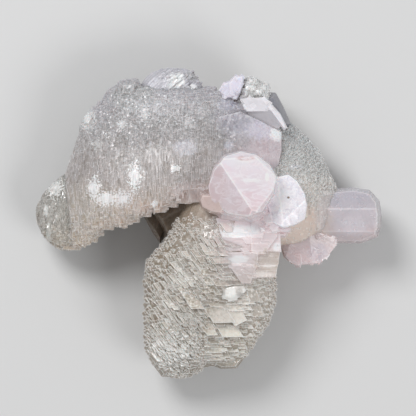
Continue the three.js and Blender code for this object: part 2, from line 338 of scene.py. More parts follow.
# Packed grains, and upright streaks lower down where the look has them
def grained(tree, look, place, sway, colour):
    wander = 20.0
    fade = 5
    busy = 1.0
    for patch in look.get("calm", ()):
        busy = times(tree, busy, maths(tree, "SUBTRACT", 1.0, spotMask(tree, place, patch)))
    grain = look["grain"]
    streak = look.get("streak")
    smooth, dull = look["roughness"]
    normal, shade, seam = cellsOf(tree, place, grain, busy)
    if streak:
        height = swayed(tree, addNode(tree, "SeparateXYZ", {0: place}).outputs["Y"], sway, wander)
        lower = remap(tree, height, streak["below"] + fade, streak["below"] - fade, smooth=True)
        longNormal, longShade, longSeam = cellsOf(tree, place, streak, busy)
        normal = mixedVector(tree, lower, normal, longNormal)
        shade = remap(tree, lower, 0.0, 1.0, shade, longShade)
        seam = remap(tree, lower, 0.0, 1.0, seam, longSeam)
    rough = remap(tree, shade, 0.0, 1.0, dull, smooth)
    if streak:
        rough = maths(tree, "ADD", rough, times(tree, lower, streak["dull"]))
    swing = times(tree, maths(tree, "SUBTRACT", shade, 0.5), 2 * grain["shade"])
    colour = scaled(tree, colour, maths(tree, "ADD", 1.0, times(tree, swing, busy)))
    seam = times(tree, times(tree, seam, busy), grain["seam"])
    return mixed(tree, seam, colour, paint(look["paintedHollowShade"]["colour"])), normal, rough


# Each grown block is a little lighter or darker than the next; the same attribute also carries the painted
# light and shade of cut crystals' faces and the painted highlights of their edges
def blockShaded(tree, amount, colour):
    own = addNode(tree, "Attribute", attribute_name="shade").outputs["Fac"]
    return scaled(tree, colour, remap(tree, own, 0.0, 1.0, 1 - amount, 1 + amount, clamp=False))


# Painted shade: faces that turn away from the treads are darkened, as risers lying in shade
def paintRiserShade(tree, paintedRiserShade, colour):
    level = 0.95
    steep = 0.55
    face = addNode(tree, "TexCoord").outputs["Normal"]
    turned = vectorMath(tree, "DOT_PRODUCT", face, tuple(Vector(paintedRiserShade["up"]).normalized()))
    away = times(tree, remap(tree, turned, level, steep), paintedRiserShade["amount"])
    return mixed(tree, away, colour, paint(paintedRiserShade["colour"]))


# Fine growth lines, which shade and emboss a face
def lined(tree, lines, place, sway, colour, normal):
    sweep = vectorMath(tree, "DOT_PRODUCT", place, lines["across"])
    sweep = maths(tree, "ADD", sweep, times(tree, sway, lines["sway"]))
    steps = addNode(tree, "TexNoise", {
        "W": maths(tree, "DIVIDE", sweep, lines["spacing"]), "Scale": 1.0, "Detail": 3.0,
    }, noise_dimensions="1D").outputs[0]
    level = remap(tree, steps, low=0.3, high=0.7, toLow=1 - lines["shade"], toHigh=1 + lines["shade"])
    bump = addNode(tree, "Bump", {"Height": steps, "Distance": lines["height"] * mm, "Strength": 1.0})
    if normal is not None:
        feed(tree, bump.inputs["Normal"], normal)
    return scaled(tree, colour, level), bump.outputs["Normal"]


def makeStone(name, look):
    material = bpy.data.materials.new(name)
    material.use_nodes = True
    tree = material.node_tree
    shader = tree.nodes["Principled BSDF"].inputs
    place = scaled(tree, addNode(tree, "TexCoord").outputs["Object"], 1 / mm)
    sway = noise(tree, place, scale=0.09, detail=3.0)

    colour = bandColour(tree, look, place, sway)
    for patch in look.get("spots", ()):
        colour = mixed(tree, spotMask(tree, place, patch), colour, paint(patch["colour"]))
    colour = veiled(tree, look["veil"], place, colour)
    if "grain" in look:
        colour, normal, rough = grained(tree, look, place, sway, colour)
    else:
        normal = None
        smooth, dull = look["roughness"]
        uneven = noise(tree, place, scale=0.35, detail=5.0)
        rough = remap(tree, uneven, low=0.35, high=0.65, toLow=smooth, toHigh=dull)
    if "blocks" in look:
        colour = blockShaded(tree, look["blocks"], colour)
    if "paintedRiserShade" in look:
        colour = paintRiserShade(tree, look["paintedRiserShade"], colour)
    if "lines" in look:
        colour, normal = lined(tree, look["lines"], place, sway, colour, normal)
    # Painted shade: hollows and cracks are darkened towards the look's hollow-shade colour
    paintedHollowShade = look["paintedHollowShade"]
    hollowShadeMask = useGroup(tree, hollowShadeGroup, {"Reach": paintedHollowShade["reach"] * mm})["Mask"]
    colour = mixed(tree, times(tree, hollowShadeMask, paintedHollowShade["amount"]), colour, paint(paintedHollowShade["colour"]))
    # Painted highlight: edge is the mask where sharp edges are painted toward the rim colour
    paintedRimHighlight = look["paintedRimHighlight"]
    edge = times(tree, useGroup(tree, rimHighlightGroup, {"Width": paintedRimHighlight["width"] * mm})["Mask"], paintedRimHighlight["amount"])
    colour = mixed(tree, edge, colour, paint(paintedRimHighlight["colour"]))

    feed(tree, shader["Base Color"], colour)
    feed(tree, shader["Roughness"], rough)
    if normal is not None:
        feed(tree, shader["Normal"], normal)
    # Painted glow: emission in the stone's colour lights up the hollows, and white emission the edges,
    # standing in for light that has wandered through the stone
    if "paintedGlow" in look:  # light that has wandered through the stone comes out of its hollows
        light = mixed(tree, hollowShadeMask, (0, 0, 0, 1), colour)
        feed(tree, shader["Emission Color"], mixed(tree, edge, light, (1, 1, 1, 1)))
        shader["Emission Strength"].default_value = look["paintedGlow"]
    shader["IOR"].default_value = 1.58
    shader["Transmission Weight"].default_value = look.get("clear", 0.0)
    shader["Subsurface Weight"].default_value = look["soft"]
    shader["Subsurface Radius"].default_value = (1, 0.85, 0.8)
    shader["Subsurface Scale"].default_value = look["depth"] * mm
    return material


# Rings bridged into one closed form: each ring runs from a to b, and bulges to the front and the back
def growBody(values):
    fullness = 0.62
    rings = []
    for a, b, front, back in values["stations"]:
        bpy.ops.mesh.primitive_circle_add(vertices=values["ringPoints"], radius=1)
        ring = bpy.context.object
        for corner in ring.data.vertices:
            angle = math.atan2(corner.co.y, corner.co.x)
            rise = math.sin(angle)
            place = Vector(a).lerp(Vector(b), (1 - math.cos(angle)) / 2)
            bulge = abs(rise) ** fullness * (front if rise > 0 else back)
            place.z += math.copysign(bulge, rise)
            corner.co = place * mm
        rings.append(ring)
    deselectAll()
    for ring in rings:
        ring.select_set(True)
    bpy.context.view_layer.objects.active = rings[0]
    bpy.ops.object.join()
    body = bpy.context.object
    shapeIn(body)
    bpy.ops.mesh.bridge_edge_loops(number_cuts=2, interpolation="SURFACE", smoothness=0.8)
    bpy.ops.mesh.fill_holes(sides=0)
    bpy.ops.mesh.quads_convert_to_tris(quad_method="SHORTEST_DIAGONAL", ngon_method="CLIP")
    bpy.ops.mesh.normals_make_consistent(inside=False)
    shapeOut()
    return body


# Puts triangles in an order of their own, since bridged rings don't always come in the same one
def inOrder(triangles):
    step = 0.001 * mm
    shift = 10 ** 6  # no coordinate is below zero then
    room = 10 ** 7
    depthRoom = 10 ** 5
    coarse = 20
    grid = np.round(triangles / step).astype(np.int64) + shift
    keys = (grid[:, :, 0] * room + grid[:, :, 1]) * depthRoom + grid[:, :, 2] // coarse
    turn = (keys.argmin(axis=1)[:, None] + np.arange(3)) % 3
    keys = np.take_along_axis(keys, turn, axis=1)
    return np.take_along_axis(triangles, turn[:, :, None], axis=1)[np.lexsort(keys.T[::-1])]


# Random points of a surface that stay a spacing apart, with the way that the surface faces there
def surfacePoints(mesh, spacing, seed, keep):
    tries = 8  # points drawn for each square of the spacing
    smallest = 1e-20
    mesh.calc_loop_triangles()
    corners = np.empty(len(mesh.loop_triangles) * 3, dtype=np.int32)
    mesh.loop_triangles.foreach_get("vertices", corners)
    places = np.empty(len(mesh.vertices) * 3)
    mesh.vertices.foreach_get("co", places)
    triangles = inOrder(places.reshape(-1, 3)[corners.reshape(-1, 3)])
    crossed = np.cross(triangles[:, 1] - triangles[:, 0], triangles[:, 2] - triangles[:, 0])
    areas = np.linalg.norm(crossed, axis=1) / 2
    normals = crossed / np.maximum(2 * areas[:, None], smallest)
    rng = np.random.default_rng(seed)
    count = int(areas.sum() / spacing ** 2 * tries)
    picks = rng.choice(len(triangles), count, p=areas / areas.sum())
    u = rng.random(count)
    v = rng.random(count)
    over = u + v > 1
    u[over] = 1 - u[over]
    v[over] = 1 - v[over]
    first, second, third = triangles[picks].transpose(1, 0, 2)
    points = first + u[:, None] * (second - first) + v[:, None] * (third - first)
    normals = normals[picks]
    wanted = keep(xyz(*(points / mm).T), xyz(*normals.T))
    points = points[wanted]
    normals = normals[wanted]
    chosen = []
    cells = {}
    around = [(i, j, k) for i in (-1, 0, 1) for j in (-1, 0, 1) for k in (-1, 0, 1)]
    for index, point in enumerate(points):
        i, j, k = (point // spacing).astype(int)
        near = [other for a, b, c in around for other in cells.get((i + a, j + b, k + c), ())]
        if all(((point - points[other]) ** 2).sum() > spacing ** 2 for other in near):
            cells.setdefault((i, j, k), []).append(index)
            chosen.append(index)
    return points[chosen], normals[chosen]


def unit(rows):
    shortest = 1e-12
    return rows / np.maximum(np.linalg.norm(rows, axis=-1, keepdims=True), shortest)


# The corners of one small rhomb at each point, with its outermost corner standing proud of the surface
def blockCorners(points, normals, values, rng):
    count = len(points)
    across, along, out = (unit(np.array(v, dtype=float)) for v in values["lattice"])
    follow = values["follow"]
    sizes = np.stack([rng.uniform(*values[k], count) for k in ("width", "length", "height")], axis=1) * mm
    if follow > 0:  # the lattice bends with the surface
        side = np.where(normals @ out < 0, -1.0, 1.0)[:, None]
        up = unit(normals * follow + out * side * (1 - follow) + rng.normal(0, values["tilt"], (count, 3)))
        long = along + rng.normal(0, values.get("turn", 0), (count, 3))
        long = unit(long - up * np.einsum("ni,ni->n", long, up)[:, None])
        wide = np.cross(long, up)
    else:
        wobble = rng.normal(0, values["tilt"], (count, 3))
        up = unit(out + wobble)
        long = unit(along + wobble[:, ::-1])
        wide = unit(across + wobble[:, [1, 2, 0]])
    edges = np.stack([wide, long, up], axis=1) * sizes[:, :, None]
    facing = np.einsum("nij,nj->ni", edges, normals)
    proud = rng.uniform(*values["proud"], count) * mm
    if values.get("level"):  # stairs: each block reaches inward from its outermost corner
        tips = points + normals * proud[:, None]
        top = unit(np.cross(along, across))
        level = values["level"] * mm
        height = tips @ top
        tips += up * ((np.round(height / level) * level - height) / (up @ top))[:, None]
        centres = tips - np.einsum("ni,nij->nj", np.where(facing < 0, -1.0, 1.0), edges) / 2
    else:
        reach = np.abs(facing).sum(axis=1) / 2
        centres = points + normals * (proud - reach)[:, None]
    signs = np.array([[x, y, z] for x in (-0.5, 0.5) for y in (-0.5, 0.5) for z in (-0.5, 0.5)])
    return centres, centres[:, None, :] + np.einsum("ci,nij->ncj", signs, edges)


# Numbers the blocks so that no two with the same number touch
def apartGroups(centres, corners):
    low = corners.min(axis=1)
    high = corners.max(axis=1)
    widest = np.linalg.norm(high - low, axis=1).max()
    tree = KDTree(len(centres))
    for index, centre in enumerate(centres):
        tree.insert(centre, index)
    tree.balance()
    group = np.full(len(centres), -1)
    for index, centre in enumerate(centres):
        taken = set()
        for _, other, _ in tree.find_range(centre, widest):
            if group[other] < 0 or other == index:
                continue
            if np.all(low[index] <= high[other]) and np.all(low[other] <= high[index]):
                taken.add(group[other])
        number = 0
        while number in taken:
            number += 1
        group[index] = number
    return group


def markShade(mesh, shades):
    layer = mesh.attributes.get("shade") or mesh.attributes.new("shade", "FLOAT", "FACE")
    layer.data.foreach_set("value", shades)


def blockMesh(corners, shades):
    sides = np.array([[0, 1, 3, 2], [4, 6, 7, 5], [0, 4, 5, 1], [2, 3, 7, 6], [0, 2, 6, 4], [1, 5, 7, 3]])
    faces = (sides[None] + 8 * np.arange(len(corners))[:, None, None]).reshape(-1, 4)
    mesh = bpy.data.meshes.new("blocks")
    mesh.from_pydata(corners.reshape(-1, 3).tolist(), [], faces.tolist())
    markShade(mesh, np.repeat(shades, len(sides)))
    blocks = bpy.data.objects.new("blocks", mesh)
    bpy.context.collection.objects.link(blocks)
    shapeIn(blocks)
    bpy.ops.mesh.normals_make_consistent(inside=False)
    shapeOut()
    return blocks


def combine(piece, other):
    modifier = piece.modifiers.new("combine", "BOOLEAN")
    modifier.operation = "UNION"
    modifier.solver = "MANIFOLD"
    modifier.object = other
    applyTo(piece, modifier)
    bpy.data.objects.remove(other)


# Stands small blocks on the bare body, or on the steps that it already has
def growBlocks(piece, bare, values):
    rng = np.random.default_rng(values["seed"])
    ground = piece.data if values.get("onSteps") else bare
    points, normals = surfacePoints(ground, values["spacing"] * mm, values["seed"], values["where"])
    centres, corners = blockCorners(points, normals, values, rng)
    shades = rng.random(len(points))
    group = apartGroups(centres, corners)
    for number in range(group.max() + 1):
        chosen = group == number
        combine(piece, blockMesh(corners[chosen], shades[chosen]))
    print("  ", len(points), "blocks in", group.max() + 1, "groups")


# Drops the small closed pockets left between blocks
def keepOuterPart(piece):
    activate(piece)
    bpy.ops.mesh.separate(type="LOOSE")
    parts = list(bpy.context.selected_objects)
    outer = max(parts, key=lambda part: len(part.data.polygons))
    for part in parts:
        if part is not outer:
            bpy.data.objects.remove(part)
    return outer


# Where a plumb line from high above meets the mesh, in millimetres
def surfaceUnder(mesh, x, y):
    above = 200
    mesh.calc_loop_triangles()
    tree = BVHTree.FromPolygons([v.co for v in mesh.vertices], [t.vertices for t in mesh.loop_triangles])
    return tree.ray_cast(Vector((x, y, above)) * mm, Vector((0, 0, -1)))[0].z / mm


def cutFace(normal, point):
    bpy.ops.mesh.select_all(action="SELECT")
    bpy.ops.mesh.bisect(plane_co=point * mm, plane_no=normal, use_fill=True, clear_outer=True)


# A crystal is a cube cut back to its outline at the height z, to each of its faces and to a flat foot.
# A face is its direction and how far it stands from the middle, or its direction and a point on it.
# The foot lies so deep below that height, or at a height of its own.
def cutCrystal(values):
    blank = 80 * mm
    undercut = 0.12  # how far the walls draw in below the outline
    smallest = 0.02 * mm
    flat = math.radians(0.5)
    sameWay = 0.999
    outline = [Vector((x, y, values["z"])) for x, y in values["outline"]]
    middle = sum(outline, Vector()) / len(outline)
    bpy.ops.mesh.primitive_cube_add(size=blank, location=middle * mm)
    crystal = bpy.context.object
    activate(crystal)
    bpy.ops.object.transform_apply(location=True, rotation=False, scale=False)
    shapeIn(crystal)
    sides = list(zip(outline, outline[1:] + outline[:1]))
    turn = sum(a.x * b.y - a.y * b.x for a, b in sides)
    for here, there in sides:
        outward = Vector((there.y - here.y, here.x - there.x, 0)).normalized()
        if turn < 0:
            outward.negate()
        for lean in (values["lean"], -undercut):
            cutFace((outward + Vector((0, 0, lean))).normalized(), here)
    for face in values["faces"]:
        normal = Vector(face[:3]).normalized()
        cutFace(normal, middle + normal * face[3] if len(face) == 4 else Vector(face[3:]))
    down = Vector((0, 0, -1))
    if "deep" in values:
        cutFace(down, middle + down * values["deep"])
    if "foot" in values:
        cutFace(down, Vector((0, 0, values["foot"])))
    bpy.ops.mesh.select_all(action="SELECT")
    bpy.ops.mesh.remove_doubles(threshold=smallest)
    bpy.ops.mesh.dissolve_limited(angle_limit=flat)
    bpy.ops.mesh.normals_make_consistent(inside=False)
    shapeOut()
    shades = [values.get("shade", 0.5)] * len(crystal.data.polygons)
    # Painted light and shade: the listed faces get a shade of their own
    for index, shade in values.get("faceShades", {}).items():
        normal = Vector(values["faces"][index][:3]).normalized()
        for polygon in crystal.data.polygons:
            if polygon.normal.dot(normal) > sameWay:
                shades[polygon.index] = shade
    markShade(crystal.data, shades)
    return crystal


# Chamfers the edges; a painted-highlight shade given for them makes the upper ones paler than the faces
def roundedCrystal(values):
    sharp = math.radians(12)
    upward = 0.3
    sameWay = 0.9995
    crystal = cutCrystal(values)
    faces = [polygon.normal.copy() for polygon in crystal.data.polygons]
    bevel = crystal.modifiers.new("edges", "BEVEL")
    bevel.width = values.get("edge", 0.12) * mm
    bevel.segments = 1 if "edgeShade" in values else 2
    bevel.limit_method = "ANGLE"
    bevel.angle_limit = sharp
    applyTo(crystal, bevel)
    if "edgeShade" in values:
        layer = crystal.data.attributes["shade"].data
        for polygon in crystal.data.polygons:
            if polygon.normal.z > upward and max(polygon.normal.dot(face) for face in faces) < sameWay:
                layer[polygon.index].value = values["edgeShade"]
    return crystal


# A crystal with "on" stands that far above the body under its middle
def seated(crystal, mesh):
    if "on" not in crystal:
        return crystal
    x, y = np.mean(crystal["outline"], axis=0)
    return dict(crystal, z=surfaceUnder(mesh, x, y) + crystal["on"])


def makeGrown(values, name, material, crystals=()):
    body = growBody(values)
    markShade(body.data, [0.5] * len(body.data.polygons))
    bare = body.data.copy()
    for growth in values["growth"]:
        growBlocks(body, bare, growth)
    for crystal in crystals:
        combine(body, cutCrystal(seated(crystal, bare)))
    for growth in values.get("lateGrowth", ()):
        growBlocks(body, bare, growth)
    return finishPiece(keepOuterPart(body), name, material)


def makeCrystal(values, name, material):
    crystal = roundedCrystal(values)
    if "growth" not in values:
        return finishPiece(crystal, name, material, smoothAngle=20)
    growBlocks(crystal, crystal.data.copy(), values["growth"])
    return finishPiece(keepOuterPart(crystal), name, material)


# Several crystals grown into one
def makeJoined(crystals, name, material, growth=None):
    whole, *others = [roundedCrystal(crystal) for crystal in crystals]
    for other in others:
        combine(whole, other)
    if growth:
        growBlocks(whole, whole.data.copy(), growth)
    return finishPiece(keepOuterPart(whole), name, material)


def makeCrystals(values, name, material):
    for number, crystal in enumerate(values):
        makeCrystal(crystal, f"{name}{number + 1}", material)


wingLattice = ([1, 0.05, -0.1], [0.06, -1, 0.05], [0.12, 0.3, 0.95])

leftWing = dict(
    ringPoints=28,
    stations=[
        ([24, 34, 30], [24, 22, 33], 5, 8), ([20, 39, 28], [20, 12, 35], 8, 12),
        ([9, 44.4, 26], [8, 9, 36], 10, 14), ([-7, 47, 24], [-7, 9, 35], 11, 14),
        ([-21, 47.8, 22], [-15, 5.5, 34], 11, 12), ([-31.4, 46.6, 20], [-23, 2.4, 32], 11, 11),
        ([-38.2, 42, 19], [-30, -0.8, 30], 11, 10), ([-43, 35.8, 18], [-36, -2.2, 27], 11, 9),
        ([-47, 26, 17], [-40, -5.7, 24], 11, 9), ([-49.8, 17.6, 16], [-45, -7.5, 20], 10, 7),
        ([-51, 13, 15], [-49, -7.2, 17], 6, 4),
    ],
    growth=alike("seed spacing follow tilt width length height proud where", [
        # The back
        (23, 2.6, 0.5, 0.06, (2, 4), (2.5, 5.5), (2, 3), (0.1, 0.7), lambda p, n: n.z < -0.1),
        # The jagged crown
        (25, 1.9, 0.5, 0.12, (1.2, 2.8), (1.2, 2.6), (1.4, 2.2), (0.1, 0.8),
         lambda p, n: (n.z < 0.6) & (n.z > -0.3) & (p.y > 33) & (p.x > -24)),
        # Upright streaks
        (21, 1.15, 0.95, 0.02, (0.4, 0.9), (3, 7), (0.8, 1.2), (0, 0.09),
         lambda p, n: (n.z > 0) & (p.x < 8) & (p.y < 31 + 2 * np.sin(p.x * 0.4))),
        # Grains
        (22, 0.8, 0.8, 0.16, (0.4, 0.9), (0.6, 1.8), (0.8, 1.3), (0.02, 0.24),
         lambda p, n: (n.z > -0.1) & (p.x < 12) & (p.y > 26 + 3 * np.sin(p.x * 0.3))),
    ], lattice=wingLattice),
    lateGrowth=alike("seed spacing follow tilt onSteps width length height proud where", [
        # Clear plates in the crown
        (27, 2.5, 0.75, 0.1, False, (1.6, 3.8), (1.4, 3), (1.4, 2.2), (0.2, 0.7),
         lambda p, n: (n.z > 0.2) & (p.y > 40 + np.sin(p.x)) & (p.x < 13)),
        # Small steps break up the lower edge
        (26, 1.1, 0.6, 0.05, True, (0.6, 2), (0.5, 1.1), (1, 2), (-0.1, 0.25),
         lambda p, n: (n.y < -0.6) & (p.y < 9 + 0.2 * (p.x + 6)) & (p.x < -5)),
    ], lattice=wingLattice),
)

wingEdgeCrystals = alike("outline z lean deep shade faces", [
    ([(-32.6, 43), (-31.6, 49.1), (-29.4, 50), (-24.7, 50.4), (-23.4, 48), (-23.6, 42)], 24, 0.6, 6, 1.0,
     [(-0.12, 0.2, 0.97, 4), (0.5, 0.2, 0.84, 4.6)]),
    ([(-37.6, 40), (-36.8, 43.8), (-35, 46.6), (-31.1, 48.6), (-30.4, 42), (-34, 39)], 22, 0.5, 5, 0.6,
     [(-0.25, 0.2, 0.95, 4.4)]),
    ([(-40.4, 38.4), (-38.6, 41.4), (-36.8, 42.6), (-35.6, 40), (-38, 36)], 20, 0.5, 5, 0.9,
     [(-0.3, 0.3, 0.9, 4.2)]),
    ([(-45.4, 31.4), (-44.9, 34.2), (-42.6, 38.2), (-40.8, 40.1), (-38.8, 38.6), (-39, 33), (-42, 31)], 19.4,
     0.2, 6, 1.0, [(-0.35, 0.1, 0.93, 6), (0.3, 0.3, 0.9, 6)]),
    ([(-44.2, 34), (-43.2, 37), (-41.6, 38.8), (-39.6, 36.6), (-41, 33)], 24.4, 0.3, 6, 1.0,
     [(-0.5, 0.4, 0.8, 3), (0.2, 0.1, 0.95, 3.6)]),
    ([(-3, 40), (-2.4, 47), (-0.4, 47.6), (2.6, 47.4), (3.6, 45), (3, 39)], 25, 0.5, 6, 0.8,
     [(0, 0.4, 0.92, 3.6), (0.4, 0.2, 0.9, 4)]),
    ([(-46.6, 24), (-46.6, 28), (-45.2, 31), (-43, 33), (-41, 31), (-42.6, 23)], 18, 0.5, 5, 0.8,
     [(-0.4, 0.1, 0.9, 4.2)]),
])

# The stepped lower edge: where each tread runs from and to, how low it reaches, and its depth
wingTreads = [
    (-51, -45.6, -9.9, 17), (-47.2, -42.1, -8.2, 19), (-43.6, -39.1, -7.1, 21.5), (-39.6, -36.8, -5, 23),
    (-38.6, -33.4, -2.9, 25), (-34.8, -28.6, -1.4, 27), (-29.8, -24.4, -0.3, 29), (-25.8, -20.6, 1.8, 31),
    (-21.8, -15, 3.2, 32.5), (-16.6, -11.2, 5, 33.5), (-12.4, -6, 6.2, 34.5), (-7, -1, 6.6, 36),
]


def treadCrystal(start, end, low, depth):
    slope = 0.12
    back = 5
    rise = 3.4
    low += 0.5
    return dict(
        outline=[(start, low + back), (start, low + slope), (end, low - slope), (end, low + back)],
        z=depth, lean=0.04, deep=4, faces=[(0, -0.5, 0.87, 0, low, depth + rise)],
    )


# The smooth shoulder at the wing's right end
shoulderCrystal = dict(
    outline=[
        (2, 37), (11, 39), (18.4, 35.6), (25.3, 31.6), (25.5, 25), (24.6, 20), (22.6, 18), (14, 16),
        (2, 20),
    ],
    z=36, lean=0.2, deep=12,
    faces=[
        (0.02, 0.12, 0.99, 14, 29, 40.8), (0.42, 0.1, 0.9, 20.4, 29, 40.5),
        (0.34, -0.2, 0.92, 20, 23.6, 41.1), (-0.12, 0.06, 0.99, 10, 29, 40.9),
        (0.3, 0.5, 0.81, 17, 35.2, 40.1),
    ],
    faceShades={0: 0.4, 1: 0.75, 2: 0.3, 3: 0.4, 4: 0.7},
)

wingLook = dict(
    colours=[
        (-9, (206, 184, 160)), (3, (192, 175, 160)), (18, (160, 151, 146)), (34, (168, 165, 165)),
        (46, (186, 183, 190)),
    ],
    spots=[
        spot(22, 16, 20, 22, (202, 187, 193), strength=0.8),
        spot(-5, 10, 10, 5, (216, 198, 194), strength=0.75),
        spot(12, 36, 12, 8, (188, 186, 197), strength=0.8), spot(18, 32, 6, 4, (210, 205, 218), 1.4, 0.8),
        spot(12, 28, 3, 2.4, (168, 162, 166), 1.2, 0.6), spot(7, 27, 1.9, 2.2, (214, 214, 226), 0.8, 0.7),
        spot(6.4, 41, 4, 2.6, (196, 196, 212), 0.8, 0.8), spot(9.2, 42.3, 0.7, 0.6, (96, 66, 62), 0.4),
        spot(23.4, 30.6, 2.8, 3, (248, 248, 252), 1.0), spot(-42, 2, 12, 14, (180, 172, 158), strength=0.6),
        spot(-26, 44, 10, 7, (176, 178, 176), strength=0.7),
        spot(-44, -6, 8, 3, (210, 190, 166), strength=0.7),
        spot(-32, -0.5, 9, 3, (210, 188, 168), strength=0.7),
        spot(-17, 4.8, 9, 3.4, (208, 186, 174), strength=0.7), glintAndSpeckle(-25.3, 16, 2.6, 5.6, (252, 252, 252)),
        glintAndSpeckle(-39.4, 12, 2.6, 4.6, (250, 250, 250)), glintAndSpeckle(-35.6, 8.4, 4.4, 2.8, (250, 250, 250)),
        glintAndSpeckle(-30, 8.4, 4, 2.6, (238, 236, 236), 4.6), glintAndSpeckle(-11.3, 18.8, 1.8, 1.6, (248, 248, 248)),
        glintAndSpeckle(-18.6, 6.5, 1.4, 1.4, (252, 250, 250), 1.6), glintAndSpeckle(-7, 34, 2.6, 2.4, (226, 226, 228), 6, 0.7),
        spot(-8, 26, 5, 3.4, (210, 208, 214), 1.6), glintAndSpeckle(-42, 36, 3, 4.6, (240, 240, 240), 3),
        glintAndSpeckle(-30, 34, 1.8, 2, (236, 236, 236), 4.6), glintAndSpeckle(-22, 38, 1.6, 2.4, (240, 240, 240), 4),
        glintAndSpeckle(-38.6, 27, 1.8, 1.8, (226, 226, 224), 6, 0.6), glintAndSpeckle(-26, 22, 8, 7, (232, 230, 228), 8, 0.2),
        glintAndSpeckle(-14, 40, 14, 4, (236, 236, 240), 8, 0.5),
    ],
    calm=[
        calm(20, 27, 13, 14, 0.85), calm(4, 14, 10, 6, 0.9), calm(-44, -6, 8, 3, 0.7),
        calm(-32, -0.5, 9, 3, 0.7), calm(-17, 4.8, 9, 3.4, 0.7),
    ],
    veil=dict(size=(4, 6, 4), cloud=0.28, wisps=0.35, colour=(224, 221, 225)),
    grain=dict(size=(0.6, 0.7, 0.6), lean=1.05, shade=0.14, seam=0.12),
    streak=dict(size=(0.42, 3.4, 0.8), lean=0.14, shade=0.05, below=24, dull=0.2), blocks=0.1,
    paintedHollowShade=dict(reach=1.6, amount=0.25, colour=(132, 120, 108)),
    paintedRimHighlight=dict(width=0.26, amount=0.55, colour=(252, 250, 253)), paintedGlow=0.12, roughness=(0.1, 0.5), soft=0.8,
    depth=4.5, clear=0.12,
)

wingStone = makeStone("wingStone", wingLook)
makeGrown(leftWing, "leftWing", wingStone, [
    *wingEdgeCrystals, shoulderCrystal, *(treadCrystal(*tread) for tread in wingTreads),
])


wingFoot = dict(
    ringPoints=24,
    stations=[
        ([-43, 17, 15], [-43, -7, 17], 8, 6), ([-48, 18, 14], [-47.5, -9.4, 15], 11, 8),
        ([-53.2, 15, 13], [-53, -8.8, 14], 10, 8), ([-57.4, 10.8, 13], [-57.4, -5, 14], 7, 6),
        ([-60, 5.6, 14], [-60, 0.4, 14], 3, 3),
    ],
    growth=alike("seed spacing follow tilt width length height proud where", [
        (31, 0.9, 0.8, 0.08, (0.5, 1.2), (1, 3.4), (0.9, 1.5), (0, 0.3), lambda p, n: n.z > -0.2),
        (32, 2.4, 0.5, 0.06, (2, 3.6), (2, 4.4), (1.6, 2.6), (0, 0.4), lambda p, n: n.z <= -0.2),
    ], lattice=([1, 0.3, -0.1], [-0.35, -1, 0.05], [0.1, 0.1, 0.95])),
)

footCrystals = [
    dict(
        outline=[(-51, 11.6), (-52, 15.8), (-48.4, 18.4), (-45.6, 18), (-45, 12)], z=18, lean=0.4, deep=5,
        faces=[(-0.3, 0.3, 0.9, 4.6)], shade=0.9,
    ),
]

footLook = dict(
    colours=[(-10, (170, 154, 134)), (2, (134, 127, 118)), (16, (152, 150, 146))],
    spots=[
        glintAndSpeckle(-53.6, 12, 3.4, 3.8, (238, 237, 236)), glintAndSpeckle(-54, 2, 5, 9, (226, 224, 220), 8, 0.3),
        spot(-56.6, 4.4, 0.9, 2.8, (224, 224, 222), 0.8), spot(-55.8, -3.4, 1, 4, (214, 212, 206), 0.8),
        spot(-50, 2, 2.6, 7, (150, 144, 134), strength=0.6),
    ],
    veil=dict(size=(4, 8, 4), cloud=0.3, wisps=0.3, colour=(222, 220, 216)),
    grain=dict(size=(0.55, 1.2, 0.55), lean=0.85, shade=0.12, seam=0.1), blocks=0.1,
    paintedHollowShade=dict(reach=1.8, amount=0.45, colour=(112, 102, 90)),
    paintedRimHighlight=dict(width=0.24, amount=0.5, colour=(246, 244, 240)), paintedGlow=0.06, roughness=(0.1, 0.5), soft=0.75,
    depth=3,
)

footStone = makeStone("footStone", footLook)
makeGrown(wingFoot, "wingFoot", footStone, footCrystals)


# Fine slanting ledges cover the column's left half, and broad level plates its right half
columnLattice = ([0.98, 0, -0.15], [0.6, -0.8, 0.06], [0.22, 0.3, 0.93])

